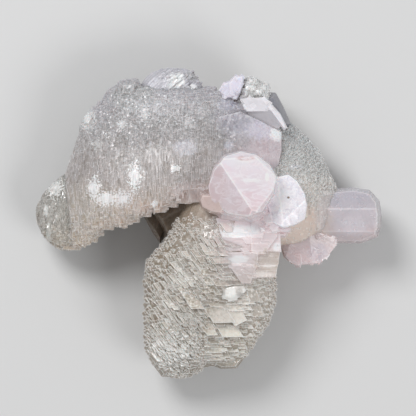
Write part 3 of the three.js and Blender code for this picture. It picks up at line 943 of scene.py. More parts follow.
column = dict(
    ringPoints=28,
    stations=[
        ([-8, 8, 24], [23, 8, 26], 16, 14), ([-12, -0.7, 24], [24, -0.7, 25], 20, 17),
        ([-16.4, -7.7, 23], [24, -7.7, 24], 22, 18), ([-21.4, -13.6, 22], [23.2, -13.6, 24], 21, 18),
        ([-22, -21.6, 21], [22.8, -21.6, 23], 20, 17), ([-22.2, -28.5, 20], [22.6, -28.5, 22], 18, 16),
        ([-22, -35.5, 19], [19.8, -35.5, 21], 17, 15), ([-21.8, -41.6, 18], [16, -40.7, 20], 15, 13),
        ([-20.2, -46.6, 18], [13, -45.6, 19], 12, 11), ([-16.8, -50.6, 17], [3, -48.2, 17], 8, 8),
        ([-13, -53, 16], [-7, -53, 16], 3, 3),
    ],
    growth=alike("seed spacing tilt level width length height proud where", [
        # The back
        (43, 2.8, 0.03, 0, (2, 5), (2.5, 6), (2, 3.4), (0.1, 0.7), lambda p, n: (n.z < -0.2) & (p.y < -3)),
        # Stairs all over
        (40, 1.7, 0, 0.6, (3, 4), (4, 5), (3, 4), (0, 0.8),
         lambda p, n: (n.z > -0.3) & (p.y < 1.5 + 1.5 * np.sin(p.x * 0.8))),
        # Fine slanting ledges
        (41, 1.5, 0.05, 0.7, (0.9, 2.6), (1.6, 4.4), (2, 3), (0.4, 1.4),
         lambda p, n: (n.z > 0.2) & (p.y < 2 + 1.5 * np.sin(p.x * 0.8)) & (p.x < 3 + 0.1 * p.y)),
        # Broad level plates
        (42, 2.7, 0, 0.8, (3, 6), (2.4, 4), (2, 3), (0.6, 1.4),
         lambda p, n: (n.z > 0.45) & (p.y < -10) & (p.x > -1)),
        # Finer steps at the lower left
        (45, 1.1, 0.08, 0, (0.6, 1.4), (1.2, 3), (1.6, 2.4), (0.9, 1.5),
         lambda p, n: (n.z > 0.1) & (p.y < -37 + 0.4 * (p.x + 22)) & (p.x < -3)),
        # Narrow level ledges down the right side and at the foot
        (44, 1.6, 0, 0.7, (1.6, 4.4), (0.9, 2.2), (2, 3), (0.5, 1.4),
         lambda p, n: (n.z > -0.1) & (p.y < -8) & (p.x > 10 + 0.5 * (p.y + 30))),
    ], lattice=columnLattice, follow=0),
)

columnCrystals = [
    dict(  # lobe at the foot
        outline=[(1.6, -43.8), (12, -43.8), (12.6, -47.2), (9.8, -50.8), (4.4, -51), (1.6, -50)], z=17,
        lean=0.2, deep=5, faces=[(0.1, -0.2, 0.97, 5)], shade=0.4,
    ),
    *alike("outline on shade faces", [
        ([(-1.9, -28.9), (5.4, -28.7), (9.4, -34.2), (1.6, -34.4)], 0.8, 0.6, [(0.1, 0.24, 0.97, 0.6)]),
        ([(5, -29.4), (11.2, -29.6), (13.2, -33.4), (9, -35.6)], 0.7, 0.8, [(0.2, 0.2, 0.96, 0.6)]),
        ([(1.8, -33.8), (8.4, -34), (12.2, -39.2), (4.6, -39.4)], 0.5, 0.5, [(0.16, 0.2, 0.97, 0.5)]),
        ([(-5, -33), (0.2, -33.4), (3.4, -38.6), (-0.4, -38.8)], 0.5, 0.85, [(0.1, 0.24, 0.97, 0.4)]),
        ([(-9.4, -24), (-4.4, -24.2), (-1.4, -29.4), (-6, -29.6)], 0.9, 0.9, [(0.1, 0.24, 0.97, 0.4)]),
        ([(12.8, -22.6), (16.6, -22.8), (17.8, -27), (14, -27.2)], 0.7, 0.0, [(0.1, -0.3, 0.95, 0.5)]),
        ([(14.2, -27.8), (18, -28), (19, -32.2), (15.2, -32.4)], 0.7, 0.0, [(0.1, -0.3, 0.95, 0.5)]),
    ], lean=0.1, deep=6),
]

columnLook = dict(
    colours=[
        (-54, (160, 154, 143)), (-36, (163, 154, 141)), (-18, (160, 150, 137)), (-4, (174, 162, 152)),
        (8, (196, 182, 172)),
    ],
    spots=[
        spot(13, -5, 15, 15, (218, 202, 202), strength=0.9),
        spot(8, -17, 8, 6, (198, 186, 184), strength=0.6), spot(18, -30, 10, 19, (240, 233, 225)),
        spot(7, -33, 8, 7, (206, 200, 193), strength=0.8), spot(-5, 3, 6, 5, (196, 178, 166), strength=0.6),
        spot(9, -43, 11, 9, (240, 235, 223), strength=0.9), spot(-15, -16, 7, 7, (150, 140, 126), 3, 0.6),
        spot(-6, -28, 9, 3, (150, 138, 122), 3, 0.5), spot(4, -41, 8, 2, (152, 140, 124), 2.4, 0.6),
        glintAndSpeckle(-9, -19, 9, 4, (240, 236, 230), 6, 0.6), glintAndSpeckle(-13, -30, 8, 5, (244, 240, 234), 7, 0.6),
        glintAndSpeckle(-13, -45, 11, 11, (96, 86, 74), 6, 0.8), glintAndSpeckle(-13.4, -46, 10, 9, (255, 254, 251), 5),
    ],
    veil=dict(size=(3, 3, 3), cloud=0.4, wisps=0.35, colour=(236, 232, 226)),
    grain=dict(size=(0.6, 0.8, 0.6), lean=0.22, shade=0.04, seam=0.0),
    calm=[calm(-12, -46, 11, 8, -3), calm(7, -34, 7, 6, 0.3)], blocks=0.28,
    paintedRiserShade=dict(up=(0.22, 0.3, 0.93), amount=0.75, colour=(150, 135, 116)),
    paintedHollowShade=dict(reach=1.6, amount=0.55, colour=(116, 101, 82)),
    paintedRimHighlight=dict(width=0.36, amount=0.85, colour=(255, 254, 251)), paintedGlow=0.14, roughness=(0.08, 0.36), soft=0.75,
    depth=2.6, clear=0.1,
)

columnStone = makeStone("columnStone", columnLook)
makeGrown(column, "column", columnStone, columnCrystals)


greyLattice = ([0.82, -0.5, -0.28], [-0.42, -0.88, 0.2], [0.3, 0.15, 0.94])

rightWing = dict(
    ringPoints=28,
    stations=[
        ([22, 35, 24], [29, 34.6, 20], 5, 8), ([14, 29, 30], [34.5, 29.3, 20], 9, 12),
        ([12, 23.7, 32], [39, 24, 19], 11, 12), ([12, 16.7, 32], [42.2, 17, 19], 12, 12),
        ([12, 11.5, 32], [44.6, 11.8, 19], 12, 12), ([12, 2.8, 30], [45.4, 2.8, 19], 12, 11),
        ([14, -3.4, 27], [43.4, -3.4, 18], 11, 10), ([22, -7, 22], [41, -7, 17], 9, 8),
        ([27, -9.8, 18], [37, -9.8, 16], 5, 5),
    ],
    growth=alike("seed spacing lattice follow tilt turn width length height proud where", [
        # The back
        (54, 2.8, greyLattice, 0.4, 0.05, 0, (2, 4), (2.5, 5), (2, 3), (0.1, 0.7),
         lambda p, n: (n.z < -0.1) & (p.x > 18)),
        # Sugary grains
        (52, 0.82, greyLattice, 0.9, 0.3, 0.8, (0.45, 0.8), (0.9, 2), (1, 1.5), (0.1, 0.7),
         lambda p, n: (n.z > -0.1) & (p.x > 20) & (p.y > 8 + 2 * np.sin(p.x * 0.5))),
        # Faint upright growth below them
        (53, 1.1, wingLattice, 0.95, 0.02, 0, (0.5, 1.1), (1.6, 4), (0.8, 1.2), (0, 0.06),
         lambda p, n: (n.z > -0.1) & (p.x > 18) & (p.y <= 10)),
    ]),
)

rightWingLook = dict(
    colours=[
        (-12, (242, 222, 210)), (3, (240, 221, 209)), (10, (218, 210, 203)), (20, (196, 195, 193)),
        (34, (188, 189, 191)),
    ],
    calm=[calm(34, -4, 16, 10)],
    spots=[
        spot(42, 2, 6, 12, (208, 200, 201), strength=0.8), spot(30, 19.5, 2.6, 1, (226, 226, 230), 0.8),
        spot(31.6, 14.6, 1, 1, (236, 236, 236), 1.0),
    ],
    veil=dict(size=(6, 6, 6), cloud=0.15, wisps=0.08, colour=(224, 222, 220)),
    grain=dict(size=(0.6, 0.6, 0.6), lean=0.6, shade=0.12, seam=0.15),
    streak=dict(size=(0.45, 3, 0.7), lean=0.14, shade=0.05, below=9, dull=0.2), blocks=0.2,
    paintedHollowShade=dict(reach=1.2, amount=0.45, colour=(122, 119, 113)),
    paintedRimHighlight=dict(width=0.26, amount=0.8, colour=(252, 252, 253)), paintedGlow=0.1, roughness=(0.1, 0.5), soft=0.75,
    depth=3, clear=0.1,
)

rightWingStone = makeStone("rightWingStone", rightWingLook)
makeGrown(rightWing, "rightWing", rightWingStone)


# The massive middle, with the broken face that the cluster lies on
middle = dict(
    outline=[(-21, 4), (-22, 26), (-8, 40), (16, 38), (31, 26), (33, 3), (22, -10), (-12, -11)], z=12,
    lean=0.16, deep=12, edge=0.6,
    faces=[(0, 0, 1, 22), (-0.5, 0.3, 0.8, 20), (0.5, 0.3, 0.8, 22), (0, -0.6, 0.8, 21)],
    growth=dict(
        seed=71, spacing=2.4, lattice=columnLattice, follow=0, tilt=0.03, width=(3, 7), length=(3, 7),
        height=(2, 5), proud=(0, 1.6), where=lambda p, n: (np.abs(n.z) < 0.6) & (p.z < 16) & (p.z > 4),
    ),
)

# Crystals in the recess under the arch, coloured with the painted recess shade
recessCrystals = alike("outline z deep faces", [
    ([(-22.8, 2.4), (-16.6, 4.5), (-13.6, -1.4), (-16.9, -7.3), (-19.7, -3.4)], 15, 6,
     [(-0.5, 0.2, 0.85, 4.2), (0.4, -0.2, 0.9, 4.6)]),
    ([(-18, 3.6), (-12.4, 7.4), (-8, 7.4), (-10, -0.6), (-14.1, -3)], 20, 7,
     [(-0.6, -0.1, 0.8, 3.8), (0.2, -0.4, 0.9, 5)]),
], lean=0.3, edge=0.15)

# Painted shade: the recess under the arch is coloured dark brown, and its hollows darkened strongly, for the
# shade that falls there
paintedRecessShadeLook = dict(
    colours=[(0, (128, 114, 100))],
    veil=dict(size=(3, 6, 3), cloud=0.3, wisps=0.25, colour=(160, 148, 138)),
    grain=dict(size=(0.8, 1.6, 0.8), lean=0.2, shade=0.14, seam=0.2),
    paintedHollowShade=dict(reach=3.0, amount=0.6, colour=(60, 50, 40)),
    paintedRimHighlight=dict(width=0.25, amount=0.35, colour=(190, 180, 170)), roughness=(0.2, 0.5), soft=0.4, depth=1.4,
)

# The middle is pale low down and turns to the painted recess shade towards the top, where it shows in the
# recess
middleLook = dict(
    paintedRecessShadeLook, axis=(0, 0, 1), colours=[(10, (216, 207, 200)), (20, (128, 114, 100))], blocks=0.12,
    paintedHollowShade=dict(reach=2.0, amount=0.3, colour=(130, 118, 104)), paintedGlow=0.04, soft=0.7, depth=2,
)

paintedRecessShadeStone = makeStone("paintedRecessShadeStone", paintedRecessShadeLook)
makeCrystal(middle, "middle", makeStone("middleStone", middleLook))
makeCrystals(recessCrystals, "recessCrystal", paintedRecessShadeStone)


rosyCrystal = dict(
    outline=[
        (11, 24.8), (5, 23.2), (1.4, 18.6), (-0.3, 12.4), (0.8, 7.6), (6.4, 3), (13.6, 1.7), (18.7, 3.6),
        (22.4, 9.6), (23.7, 15.7), (21.2, 20), (16.6, 23.6),
    ],
    z=53, lean=0.14, deep=17, edge=0.28, edgeShade=1.6,
    faces=[
        (0.12, 0.1, 0.99, 9.9, 12, 59), (-0.4, -0.25, 0.88, 9.4, 12, 58.9), (0.06, 0.6, 0.8, 12, 22, 57.9),
        (0.0, -0.42, 0.9, 12, 4.2, 59), (0.5, -0.22, 0.84, 21.6, 9, 57.1),
        (0.42, 0.42, 0.8, 20.4, 19.6, 56.4),
    ],
    faceShades={0: 0.75, 1: 0.15, 2: 0.5, 3: 0.3, 4: 0.45, 5: 0.65},
)

# The steps that it stands on
rosySteps = alike("outline z shade edgeShade faces", [
    ([(-0.6, 9), (1, 4.6), (4, 1.4), (15, 0), (20.4, 2.6), (20, 9)], 46, 0.5, 0.9,
     [(0, -0.5, 0.87, 10, 2, 49.6)]),
    ([(2, 6), (4.4, 2.4), (9, 1), (15.6, 0.8), (18.6, 4)], 48, 0.7, 1.0, [(0, -0.3, 0.95, 10, 2.4, 50.6)]),
], lean=0.4, foot=30)

rosyLook = dict(
    colours=[(2, (224, 207, 210)), (14, (236, 224, 230)), (24, (240, 232, 240))],
    spots=[
        spot(2.4, 12, 5, 11, (226, 205, 208), strength=0.8),
        spot(14, 8, 6, 4, (232, 212, 218), strength=0.7),
        spot(15, 14.6, 4.4, 0.7, (252, 247, 250), 1.6, 0.8),
        spot(10, 20.8, 5.4, 2.2, (240, 236, 242), 1.0, 0.7),
        spot(12.6, 21.9, 4.3, 1.4, (252, 248, 250), 0.3), spot(12.6, 22.1, 3.9, 1.1, (218, 198, 200), 0.5),
        spot(12, 3.9, 6.8, 2.4, (253, 248, 250), 0.3, 0.8), spot(12, 4.6, 6.9, 2.5, (226, 208, 212), 0.3),
        spot(19.9, 15.8, 0.9, 1.9, (255, 254, 254)), spot(22.6, 14, 0.7, 0.7, (255, 254, 254)),
    ],
    blocks=0.09, veil=dict(size=(7, 4, 7), cloud=0.35, wisps=0.6, colour=(252, 246, 251)),
    lines=dict(across=(0.3, -0.9, 0.3), spacing=0.9, sway=5.0, shade=0.01, height=0.03),
    paintedHollowShade=dict(reach=4.0, amount=0.1, colour=(210, 178, 178)), paintedGlow=0.16,
    paintedRimHighlight=dict(width=0.3, amount=0.4, colour=(252, 248, 250)), roughness=(0.08, 0.26), soft=0.75, depth=2.6,
    clear=0.2,
)

rosyStone = makeStone("rosyStone", rosyLook)
makeJoined([rosyCrystal, *rosySteps], "rosyCrystal", rosyStone)


frostedCrystal = dict(
    outline=[
        (22, 15), (24, 16.2), (27.4, 16.9), (30.4, 14.6), (33, 10.4), (33.9, 6.2), (33.1, 1.4), (30, -0.6),
        (25.6, -2.1), (21.6, 0), (20, 6), (20.4, 13),
    ],
    z=44, lean=0.12, deep=14, edge=0.3, edgeShade=1.8,
    faces=[
        (0.12, 0.1, 0.98, 26, 7, 47.6), (-0.2, 0.06, 0.97, 25, 8, 47.8), (0.4, -0.22, 0.89, 30.6, 3, 46.6),
    ],
    faceShades={0: 0.6, 1: 0.7, 2: 0.5},
)

frostLook = dict(
    colours=[(0, (214, 209, 216)), (14, (218, 215, 223))],
    spots=[
        spot(24.4, 8, 2, 5, (242, 240, 245), 1.6), glintAndSpeckle(25.6, 9.4, 4, 6, (186, 182, 186), 6, 0.5),
        glintAndSpeckle(25.6, 9.4, 4.4, 6.4, (252, 251, 254), 5, 0.5), spot(27.3, 8.8, 0.6, 0.5, (124, 102, 84)),
    ],
    blocks=0.07, veil=dict(size=(2, 1.8, 2), cloud=0.4, wisps=0.4, colour=(252, 251, 254)),
    lines=dict(across=(0.8, 0.5, 0.3), spacing=1.6, sway=9.0, shade=0.03, height=0.1),
    paintedHollowShade=dict(reach=4.0, amount=0.1, colour=(210, 196, 200)), paintedGlow=0.16,
    paintedRimHighlight=dict(width=0.3, amount=0.5, colour=(255, 253, 255)), roughness=(0.15, 0.45), soft=0.75, depth=2.0,
)

frostStone = makeStone("frostStone", frostLook)
makeCrystal(frostedCrystal, "frostedCrystal", frostStone)


endPrism = dict(
    outline=[
        (34, 11), (34, -7), (44, -7.1), (52.6, -7.4), (58.8, -5.1), (60.2, -1.6), (60.4, 3), (59.6, 7.8),
        (56.2, 11.5), (48.6, 12.7), (44, 11.9),
    ],
    z=20, lean=0.2, edge=0.24, edgeShade=1.6, faceShades={0: 0.35, 1: 0.6, 2: 0.5, 6: 0.7},
    faces=[
        (0, 0.5, 0.86, 9.8), (0, -0.2, 0.98, 9.4), (0, -0.72, 0.69, 9.9), (0, 0.9, -0.42, 10.4),
        (0.05, 0, -1, 9.8), (0, -0.86, -0.5, 10.2), (0.66, 0.1, 0.75, 13.2), (0.75, 0.1, -0.65, 13.6),
    ],
)

prismLook = dict(
    colours=[(-7, (222, 207, 208)), (2, (212, 205, 210)), (12, (208, 205, 215))],
    spots=[
        spot(36, 0, 8, 12, (222, 206, 196), strength=0.9), spot(50, -1, 5, 4, (230, 224, 230), 1.6, 0.7),
    ],
    blocks=0.07, veil=dict(size=(4, 3, 4), cloud=0.35, wisps=0.25, colour=(238, 232, 238)),
    lines=dict(across=(0.95, 0.2, 0.1), spacing=0.8, sway=2.0, shade=0.015, height=0.04),
    paintedHollowShade=dict(reach=3, amount=0.1, colour=(190, 176, 172)), paintedGlow=0.16,
    paintedRimHighlight=dict(width=0.5, amount=1.0, colour=(255, 251, 253)), roughness=(0.1, 0.3), soft=0.7, depth=2.6,
    clear=0.3,
)

prismStone = makeStone("prismStone", prismLook)
makeCrystal(endPrism, "endPrism", prismStone)


peachBlock = dict(
    outline=[(3.6, 10.6), (-2.7, 10.2), (-3.4, 7.6), (-2.6, 5.2), (0.8, 3.2), (5, 2.4), (6, 5)], z=47,
    lean=0.15, deep=12, edge=0.2, edgeShade=1.2, faces=[(-0.42, -0.22, 0.88, 2, 7, 54.1)],
)

peachLook = dict(
    colours=[(3, (200, 180, 175)), (10, (202, 184, 180))], blocks=0.08,
    veil=dict(size=(4, 4, 4), cloud=0.25, wisps=0.2, colour=(220, 204, 202)),
    paintedHollowShade=dict(reach=3.0, amount=0.2, colour=(180, 150, 140)), paintedGlow=0.16,
    paintedRimHighlight=dict(width=0.3, amount=0.4, colour=(232, 222, 220)), roughness=(0.15, 0.35), soft=0.7, depth=2.5,
)

peachStone = makeStone("peachStone", peachLook)
makeCrystal(peachBlock, "peachBlock", peachStone)


# Pink ledges step down the head of the column, with painted light and shade on their faces: bright where
# they face up, rosier where they face down
headLedges = alike("outline z lean shade edgeShade faceShades faces", [
    ([(2.4, 1.8), (4.4, -5.2), (18.6, -5.2), (19.6, 1.8)], 44, 0.1, 0.6, 1.0, {0: 1.0},
     [(-0.03, 0.22, 0.97, 11, -5.2, 46.2)]),
    ([(3.6, -3), (6, -9.6), (17.6, -9.6), (19, -3)], 43.6, 0.1, 0.4, 0.9, {0: 0.5},
     [(0.02, -0.16, 0.99, 11, -5.2, 45.9)]),
    ([(5, -8.6), (8.2, -14.8), (15.8, -14.8), (17.4, -8.6)], 42.6, 0.1, 0.6, 1.0, {0: 0.95},
     [(-0.04, 0.12, 0.99, 11, -14.8, 45.2)]),
    ([(3.4, -9.4), (7, -15.6), (11.2, -21), (14.6, -21), (17.6, -13.6), (17.8, -9)], 41.6, 0.2, 0.3, 0.7,
     {0: 0.25}, [(-0.06, -0.2, 0.98, 12, -14.8, 44.9)]),
    ([(14, 1.4), (22, 0.6), (23.6, -4.4), (20, -10), (14, -10)], 44, 0.3, 0.5, 0.9, {0: 0.55},
     [(0.2, 0.04, 0.98, 17, -4, 45.7)]),
    ([(15, -4.2), (24.6, -3.4), (25, -9.8), (15, -10)], 43, 0.25, 0.5, 1.0, {0: 0.85},
     [(0.3, 0.12, 0.94, 18, -7, 44.9)]),
    ([(14.4, -8.6), (24.6, -8.8), (24, -14.2), (14.4, -14.4)], 42.4, 0.25, 0.4, 0.8, {0: 0.1},
     [(0.28, -0.06, 0.95, 18, -11.4, 44.2)]),
    ([(14, -13), (24, -13.2), (23, -18.6), (14.4, -19.2)], 41.8, 0.25, 0.4, 0.8, {0: 0.2},
     [(0.28, -0.08, 0.95, 18, -16, 43.5)]),
], foot=20)

# Small bright crystals in the corner above them
cornerCrystals = alike("outline z lean shade faces", [
    ([(18.4, 4.6), (21.8, 4), (22.8, -0.2), (19.4, -1.6), (17.6, 1)], 45, 0.35, 0.6,
     [(-0.15, 0.25, 0.95, 20, 1.6, 48), (0.4, 0.1, 0.9, 21, 1.4, 47.8)]),
    ([(20.4, 0.8), (24, 0.6), (24.4, -3), (21.6, -4), (19.8, -2)], 43.6, 0.35, 0.8,
     [(0.2, 0.2, 0.95, 22, -1.4, 46)]),
    ([(16.6, -0.6), (19.6, -0.8), (20.4, -3.6), (17.4, -3.8)], 44, 0.3, 0.7,
     [(-0.1, 0.2, 0.97, 18.4, -2, 46.8)]),
    ([(22, -0.8), (28.6, -1.8), (28, -3.6), (22, -3.6)], 38, 0.2, 0.7, [(0.2, 0.3, 0.93, 24, -2.4, 42.4)]),
    ([(22, -2.6), (27.4, -3.2), (26.6, -5), (22, -5.2)], 36, 0.2, 0.5, [(0.2, 0.3, 0.93, 24, -4, 41)]),
], foot=24, edgeShade=1.0)

headLook = dict(
    colours=[(-21, (196, 184, 180)), (-12, (212, 200, 200)), (-6, (222, 208, 210)), (0, (226, 216, 220))],
    spots=[
        spot(10.6, -2.6, 8.6, 2.5, (236, 237, 240), 0.8), spot(10.4, -12.4, 4, 1.8, (232, 231, 232)),
        spot(9, -4.4, 5, 0.7, (250, 250, 250), 2, 0.7), spot(21, -14, 6, 6, (184, 170, 158), 1.6, 0.9),
        spot(23.4, -8, 1.9, 2, (226, 224, 226), 0.5),
        spot(20.6, -14.6, 3.6, 0.5, (238, 233, 230), 0.8, 0.9),
        spot(19, -17.4, 4, 1.2, (220, 212, 206), 1.6, 0.8),
    ],
    veil=dict(size=(4, 2, 4), cloud=0.25, wisps=0.2, colour=(240, 236, 238)),
    lines=dict(across=(0.1, 0.95, 0.3), spacing=0.7, sway=1.6, shade=0.03, height=0.05), blocks=0.11,
    paintedHollowShade=dict(reach=3.0, amount=0.2, colour=(186, 160, 156)), paintedGlow=0.16,
    paintedRimHighlight=dict(width=0.25, amount=0.5, colour=(252, 248, 248)), roughness=(0.12, 0.34), soft=0.75, depth=3,
)

headStone = makeStone("headStone", headLook)
makeJoined(headLedges, "headLedges", headStone, dict(
    seed=81, spacing=3, lattice=columnLattice, follow=0, tilt=0, level=0.45, width=(2, 5), length=(1, 2.4),
    height=(1.5, 2.5), proud=(0, 0.5), where=lambda p, n: n.z > 0.6,
))
makeJoined(cornerCrystals, "cornerCrystals", headStone)


glossyFacet = dict(
    outline=[
        (4.2, -21.8), (8.6, -20.6), (12.4, -21.4), (13, -23.2), (9.6, -26.2), (7.6, -27), (4.8, -25.8),
    ],
    z=41, lean=0.9, deep=8, edge=0.3,
    faces=[
        (-0.14, 0.1, 0.98, 7, -24, 42.4), (0.3, 0.15, 0.94, 9.4, -23, 42.4),
        (0.1, -0.4, 0.9, 8, -25.6, 42.2),
    ],
    growth=dict(
        seed=83, spacing=1.4, lattice=([1, 0, 0], [0.1, -1, 0], [0, 0, 1]), follow=0.8, tilt=0.15,
        width=(0.8, 2), length=(1, 2.4), height=(1, 1.4), proud=(0, 0.3), where=lambda p, n: n.z > 0.4,
    ),
)

glossyLook = dict(
    colours=[(-27, (232, 230, 226)), (-20, (236, 234, 232))], blocks=0.12,
    spots=[spot(10.6, -23.6, 1.6, 2.2, (196, 191, 186), 0.8), spot(5, -23, 1.2, 2, (206, 202, 198), 1.4)],
    veil=dict(size=(2, 3, 2), cloud=0.2, wisps=0.1, colour=(252, 252, 252)),
    paintedHollowShade=dict(reach=2.0, amount=0.5, colour=(150, 140, 128)),
    paintedRimHighlight=dict(width=0.2, amount=0.5, colour=(255, 255, 255)), roughness=(0.06, 0.16), soft=0.5, depth=1.5,
)

glossyStone = makeStone("glossyStone", glossyLook)
makeCrystal(glossyFacet, "glossyFacet", glossyStone)


# The crest: pearly crystals on the left, lilac blades, a sugary head, a grey slab and a pale ridge
pearlCrystals = [
    dict(
        outline=[
            (-23.7, 42.4), (-23.7, 48), (-22.1, 50.3), (-20, 52.2), (-17.6, 53.2), (-14, 53.9),
            (-8.5, 53.8), (-6, 52.9), (-3.8, 50.4), (-2, 47.3), (-2, 42.4),
        ],
        z=22, lean=0.45, deep=8,
        faces=[
            (-0.3, 0.32, 0.9, -17, 49, 27.6), (0.04, 0.2, 0.98, -12, 49, 28.4),
            (0.42, 0.2, 0.88, -6, 48, 27.6),
        ],
        growth=dict(
            seed=62, spacing=1.2, lattice=([-0.65, 0.75, 0], [0.75, 0.65, 0.1], [0.1, 0.2, 0.95]),
            follow=0.5, tilt=0.14, width=(0.5, 1.1), length=(1.8, 4), height=(1, 1.6), proud=(0.05, 0.45),
            where=lambda p, n: (n.z > -0.2) & (p.y > 42) & (p.x > -17),
        ),
    ),
    dict(
        outline=[(-17.4, 46.4), (-13.8, 51), (-10, 52), (-7.4, 50.1), (-11.4, 44), (-15.4, 43.4)], z=26.4,
        lean=0.9, deep=9, edge=0.1,
        faces=[(0.2, -0.06, 0.98, -12, 49, 29.4), (-0.3, 0.12, 0.95, -14.6, 49, 29.2)],
        growth=dict(
            seed=63, spacing=1.1, lattice=([-0.65, 0.75, 0], [0.75, 0.65, 0], [0.1, 0, 1]), follow=0.7,
            tilt=0.06, width=(0.4, 0.9), length=(2, 5), height=(1, 1.4), proud=(0, 0.35),
            where=lambda p, n: n.z > 0.4,
        ),
    ),
    dict(
        outline=[(-8.6, 46), (-6, 49.6), (-3.6, 49.4), (-2.4, 46), (-3, 43), (-6.6, 42.6)], z=26, lean=0.6,
        deep=9, edge=0.1, faces=[(0.3, -0.1, 0.95, -5, 47, 28.8), (-0.4, 0.1, 0.9, -6.4, 47, 28.6)],
        growth=dict(
            seed=64, spacing=1.1, lattice=([-0.6, -0.75, 0], [0.75, -0.65, 0], [0.1, 0, 1]), follow=0.7,
            tilt=0.12, width=(0.5, 1.4), length=(1, 2.6), height=(1, 1.4), proud=(0, 0.35),
            where=lambda p, n: n.z > 0.3,
        ),
    ),
]

pearlLook = dict(
    colours=[(43, (172, 170, 178)), (54, (178, 176, 185))],
    spots=[
        spot(-11.6, 48.8, 3.6, 3.6, (240, 240, 241), 1.4), spot(-10.6, 49.4, 2.6, 3, (255, 255, 253), 1.0),
        spot(-5.4, 46, 2.4, 2.4, (246, 246, 247), 1.6), spot(-6, 51, 3, 2, (158, 156, 158), 1.2),
    ],
    blocks=0.22, veil=dict(size=(3, 3, 3), cloud=0.3, wisps=0.3, colour=(238, 238, 244)),
    lines=dict(across=(0.72, -0.69, 0.2), spacing=0.6, sway=0.5, shade=0.16, height=0.12),
    paintedHollowShade=dict(reach=2.0, amount=0.5, colour=(130, 126, 128)),
    paintedRimHighlight=dict(width=0.3, amount=0.5, colour=(250, 250, 252)), roughness=(0.1, 0.32), soft=0.6, depth=1.6,
)

pearlStone = makeStone("pearlStone", pearlLook)
makeCrystals(pearlCrystals, "pearlCrystal", pearlStone)

lilacBlades = alike("outline z shade edgeShade faces", [
    ([(3.9, 45), (3.9, 46.6), (5, 48.4), (7, 49.2), (9.8, 48.8), (9.6, 43.4), (6, 43)], 34, 0.4, 0.8,
     [(-0.25, -0.1, 0.96, 6, 47, 35.6), (0.1, -0.1, -1, 8)]),
    ([(6.6, 48.4), (8.8, 50.9), (12, 51), (12.3, 49.4), (11.8, 47), (11, 44.6), (10, 42.6), (7, 44.4)], 34.6,
     0.6, 1.1, [(0.1, -0.14, 0.98, 9, 48, 36.4), (0.1, -0.1, -1, 9)]),
], lean=0.3, edge=0.25)

lilacLook = dict(
    colours=[(42, (216, 212, 224)), (52, (222, 218, 232))],
    veil=dict(size=(2.4, 4, 2.4), cloud=0.3, wisps=0.25, colour=(240, 238, 248)),
    lines=dict(across=(0.8, -0.5, 0.3), spacing=0.7, sway=2.0, shade=0.04, height=0.06),
    paintedHollowShade=dict(reach=2.4, amount=0.3, colour=(160, 154, 166)), paintedGlow=0.12,
    paintedRimHighlight=dict(width=0.3, amount=0.5, colour=(250, 248, 255)), blocks=0.12, roughness=(0.3, 0.5), soft=0.7,
    depth=2.0, clear=0.08,
)

lilacStone = makeStone("lilacStone", lilacLook)
makeJoined(lilacBlades, "lilacBlade", lilacStone, dict(
    seed=84, spacing=1.3, lattice=([0.85, -0.5, 0], [0.5, 0.85, 0], [0, 0, 1]), follow=0.8, tilt=0.05,
    width=(0.6, 1.6), length=(1.4, 3.6), height=(1, 1.4), proud=(-0.1, 0.08), where=lambda p, n: n.z > 0.2,
))

sugarCrystal = dict(
    outline=[
        (8.6, 42.6), (10.6, 49.4), (14.4, 50.7), (17.4, 49.6), (20.8, 47.8), (21.4, 45.4), (21, 39.6),
        (10, 39.4),
    ],
    z=30, lean=0.5, deep=12, edge=0.3,
    faces=[(-0.1, 0.1, 0.99, 6.6), (0.5, 0.45, 0.74, 6.2), (-0.5, 0.2, 0.84, 6.6)],
    growth=dict(
        seed=61, spacing=1.2, lattice=wingLattice, follow=0.6, tilt=0.4, width=(0.8, 2.4),
        length=(0.8, 2.4), height=(1, 1.8), proud=(0, 0.9), where=lambda p, n: n.z > -0.2,
    ),
)

sugarLook = dict(
    colours=[(40, (216, 212, 216)), (50, (244, 244, 246))],
    spots=[
        spot(12, 42, 3, 4, (208, 204, 216), strength=0.9), spot(17, 46, 4.6, 4, (252, 252, 252), 1.4),
        glintAndSpeckle(16, 46, 5, 5, (124, 118, 110), 5, 0.5), glintAndSpeckle(18.4, 44, 3, 4, (255, 255, 255), 4),
        glintAndSpeckle(14, 48, 3, 2, (255, 255, 255), 4),
    ],
    veil=dict(size=(3, 3, 3), cloud=0.3, wisps=0.1, colour=(244, 244, 246)),
    grain=dict(size=(0.9, 0.9, 0.9), lean=0.9, shade=0.14, seam=0.1), blocks=0.34,
    paintedHollowShade=dict(reach=1.6, amount=0.9, colour=(90, 84, 78)),
    paintedRimHighlight=dict(width=0.3, amount=0.8, colour=(255, 255, 255)), paintedGlow=0.22, roughness=(0.08, 0.4), soft=0.6,
    depth=2, clear=0.1,
)

sugarStone = makeStone("sugarStone", sugarLook)
makeCrystal(sugarCrystal, "sugarCrystal", sugarStone)

slabCrystals = [
    dict(
        outline=[
            (17, 43.6), (21.6, 45.4), (23.1, 45.3), (24.4, 44.2), (26.2, 40), (29, 34.8), (27, 32),
            (17, 35),
        ],
        z=26, lean=0.35, deep=12, edge=0.4,
        faces=[(0.45, 0.22, 0.86, 23, 40, 31.6), (-0.1, 0.1, 0.99, 21, 40, 32.4)],
    ),
]

slabLook = dict(
    colours=[(32, (136, 136, 143)), (45, (132, 132, 141))],
    veil=dict(size=(4, 6, 4), cloud=0.3, wisps=0.2, colour=(204, 204, 212)),
    paintedHollowShade=dict(reach=2.4, amount=0.3, colour=(110, 108, 112)), paintedGlow=0.1,
    paintedRimHighlight=dict(width=0.4, amount=0.6, colour=(216, 216, 224)), roughness=(0.1, 0.26), soft=0.6, depth=2.0,
    clear=0.15,
)

slabStone = makeStone("slabStone", slabLook)
makeCrystals(slabCrystals, "slabCrystal", slabStone)

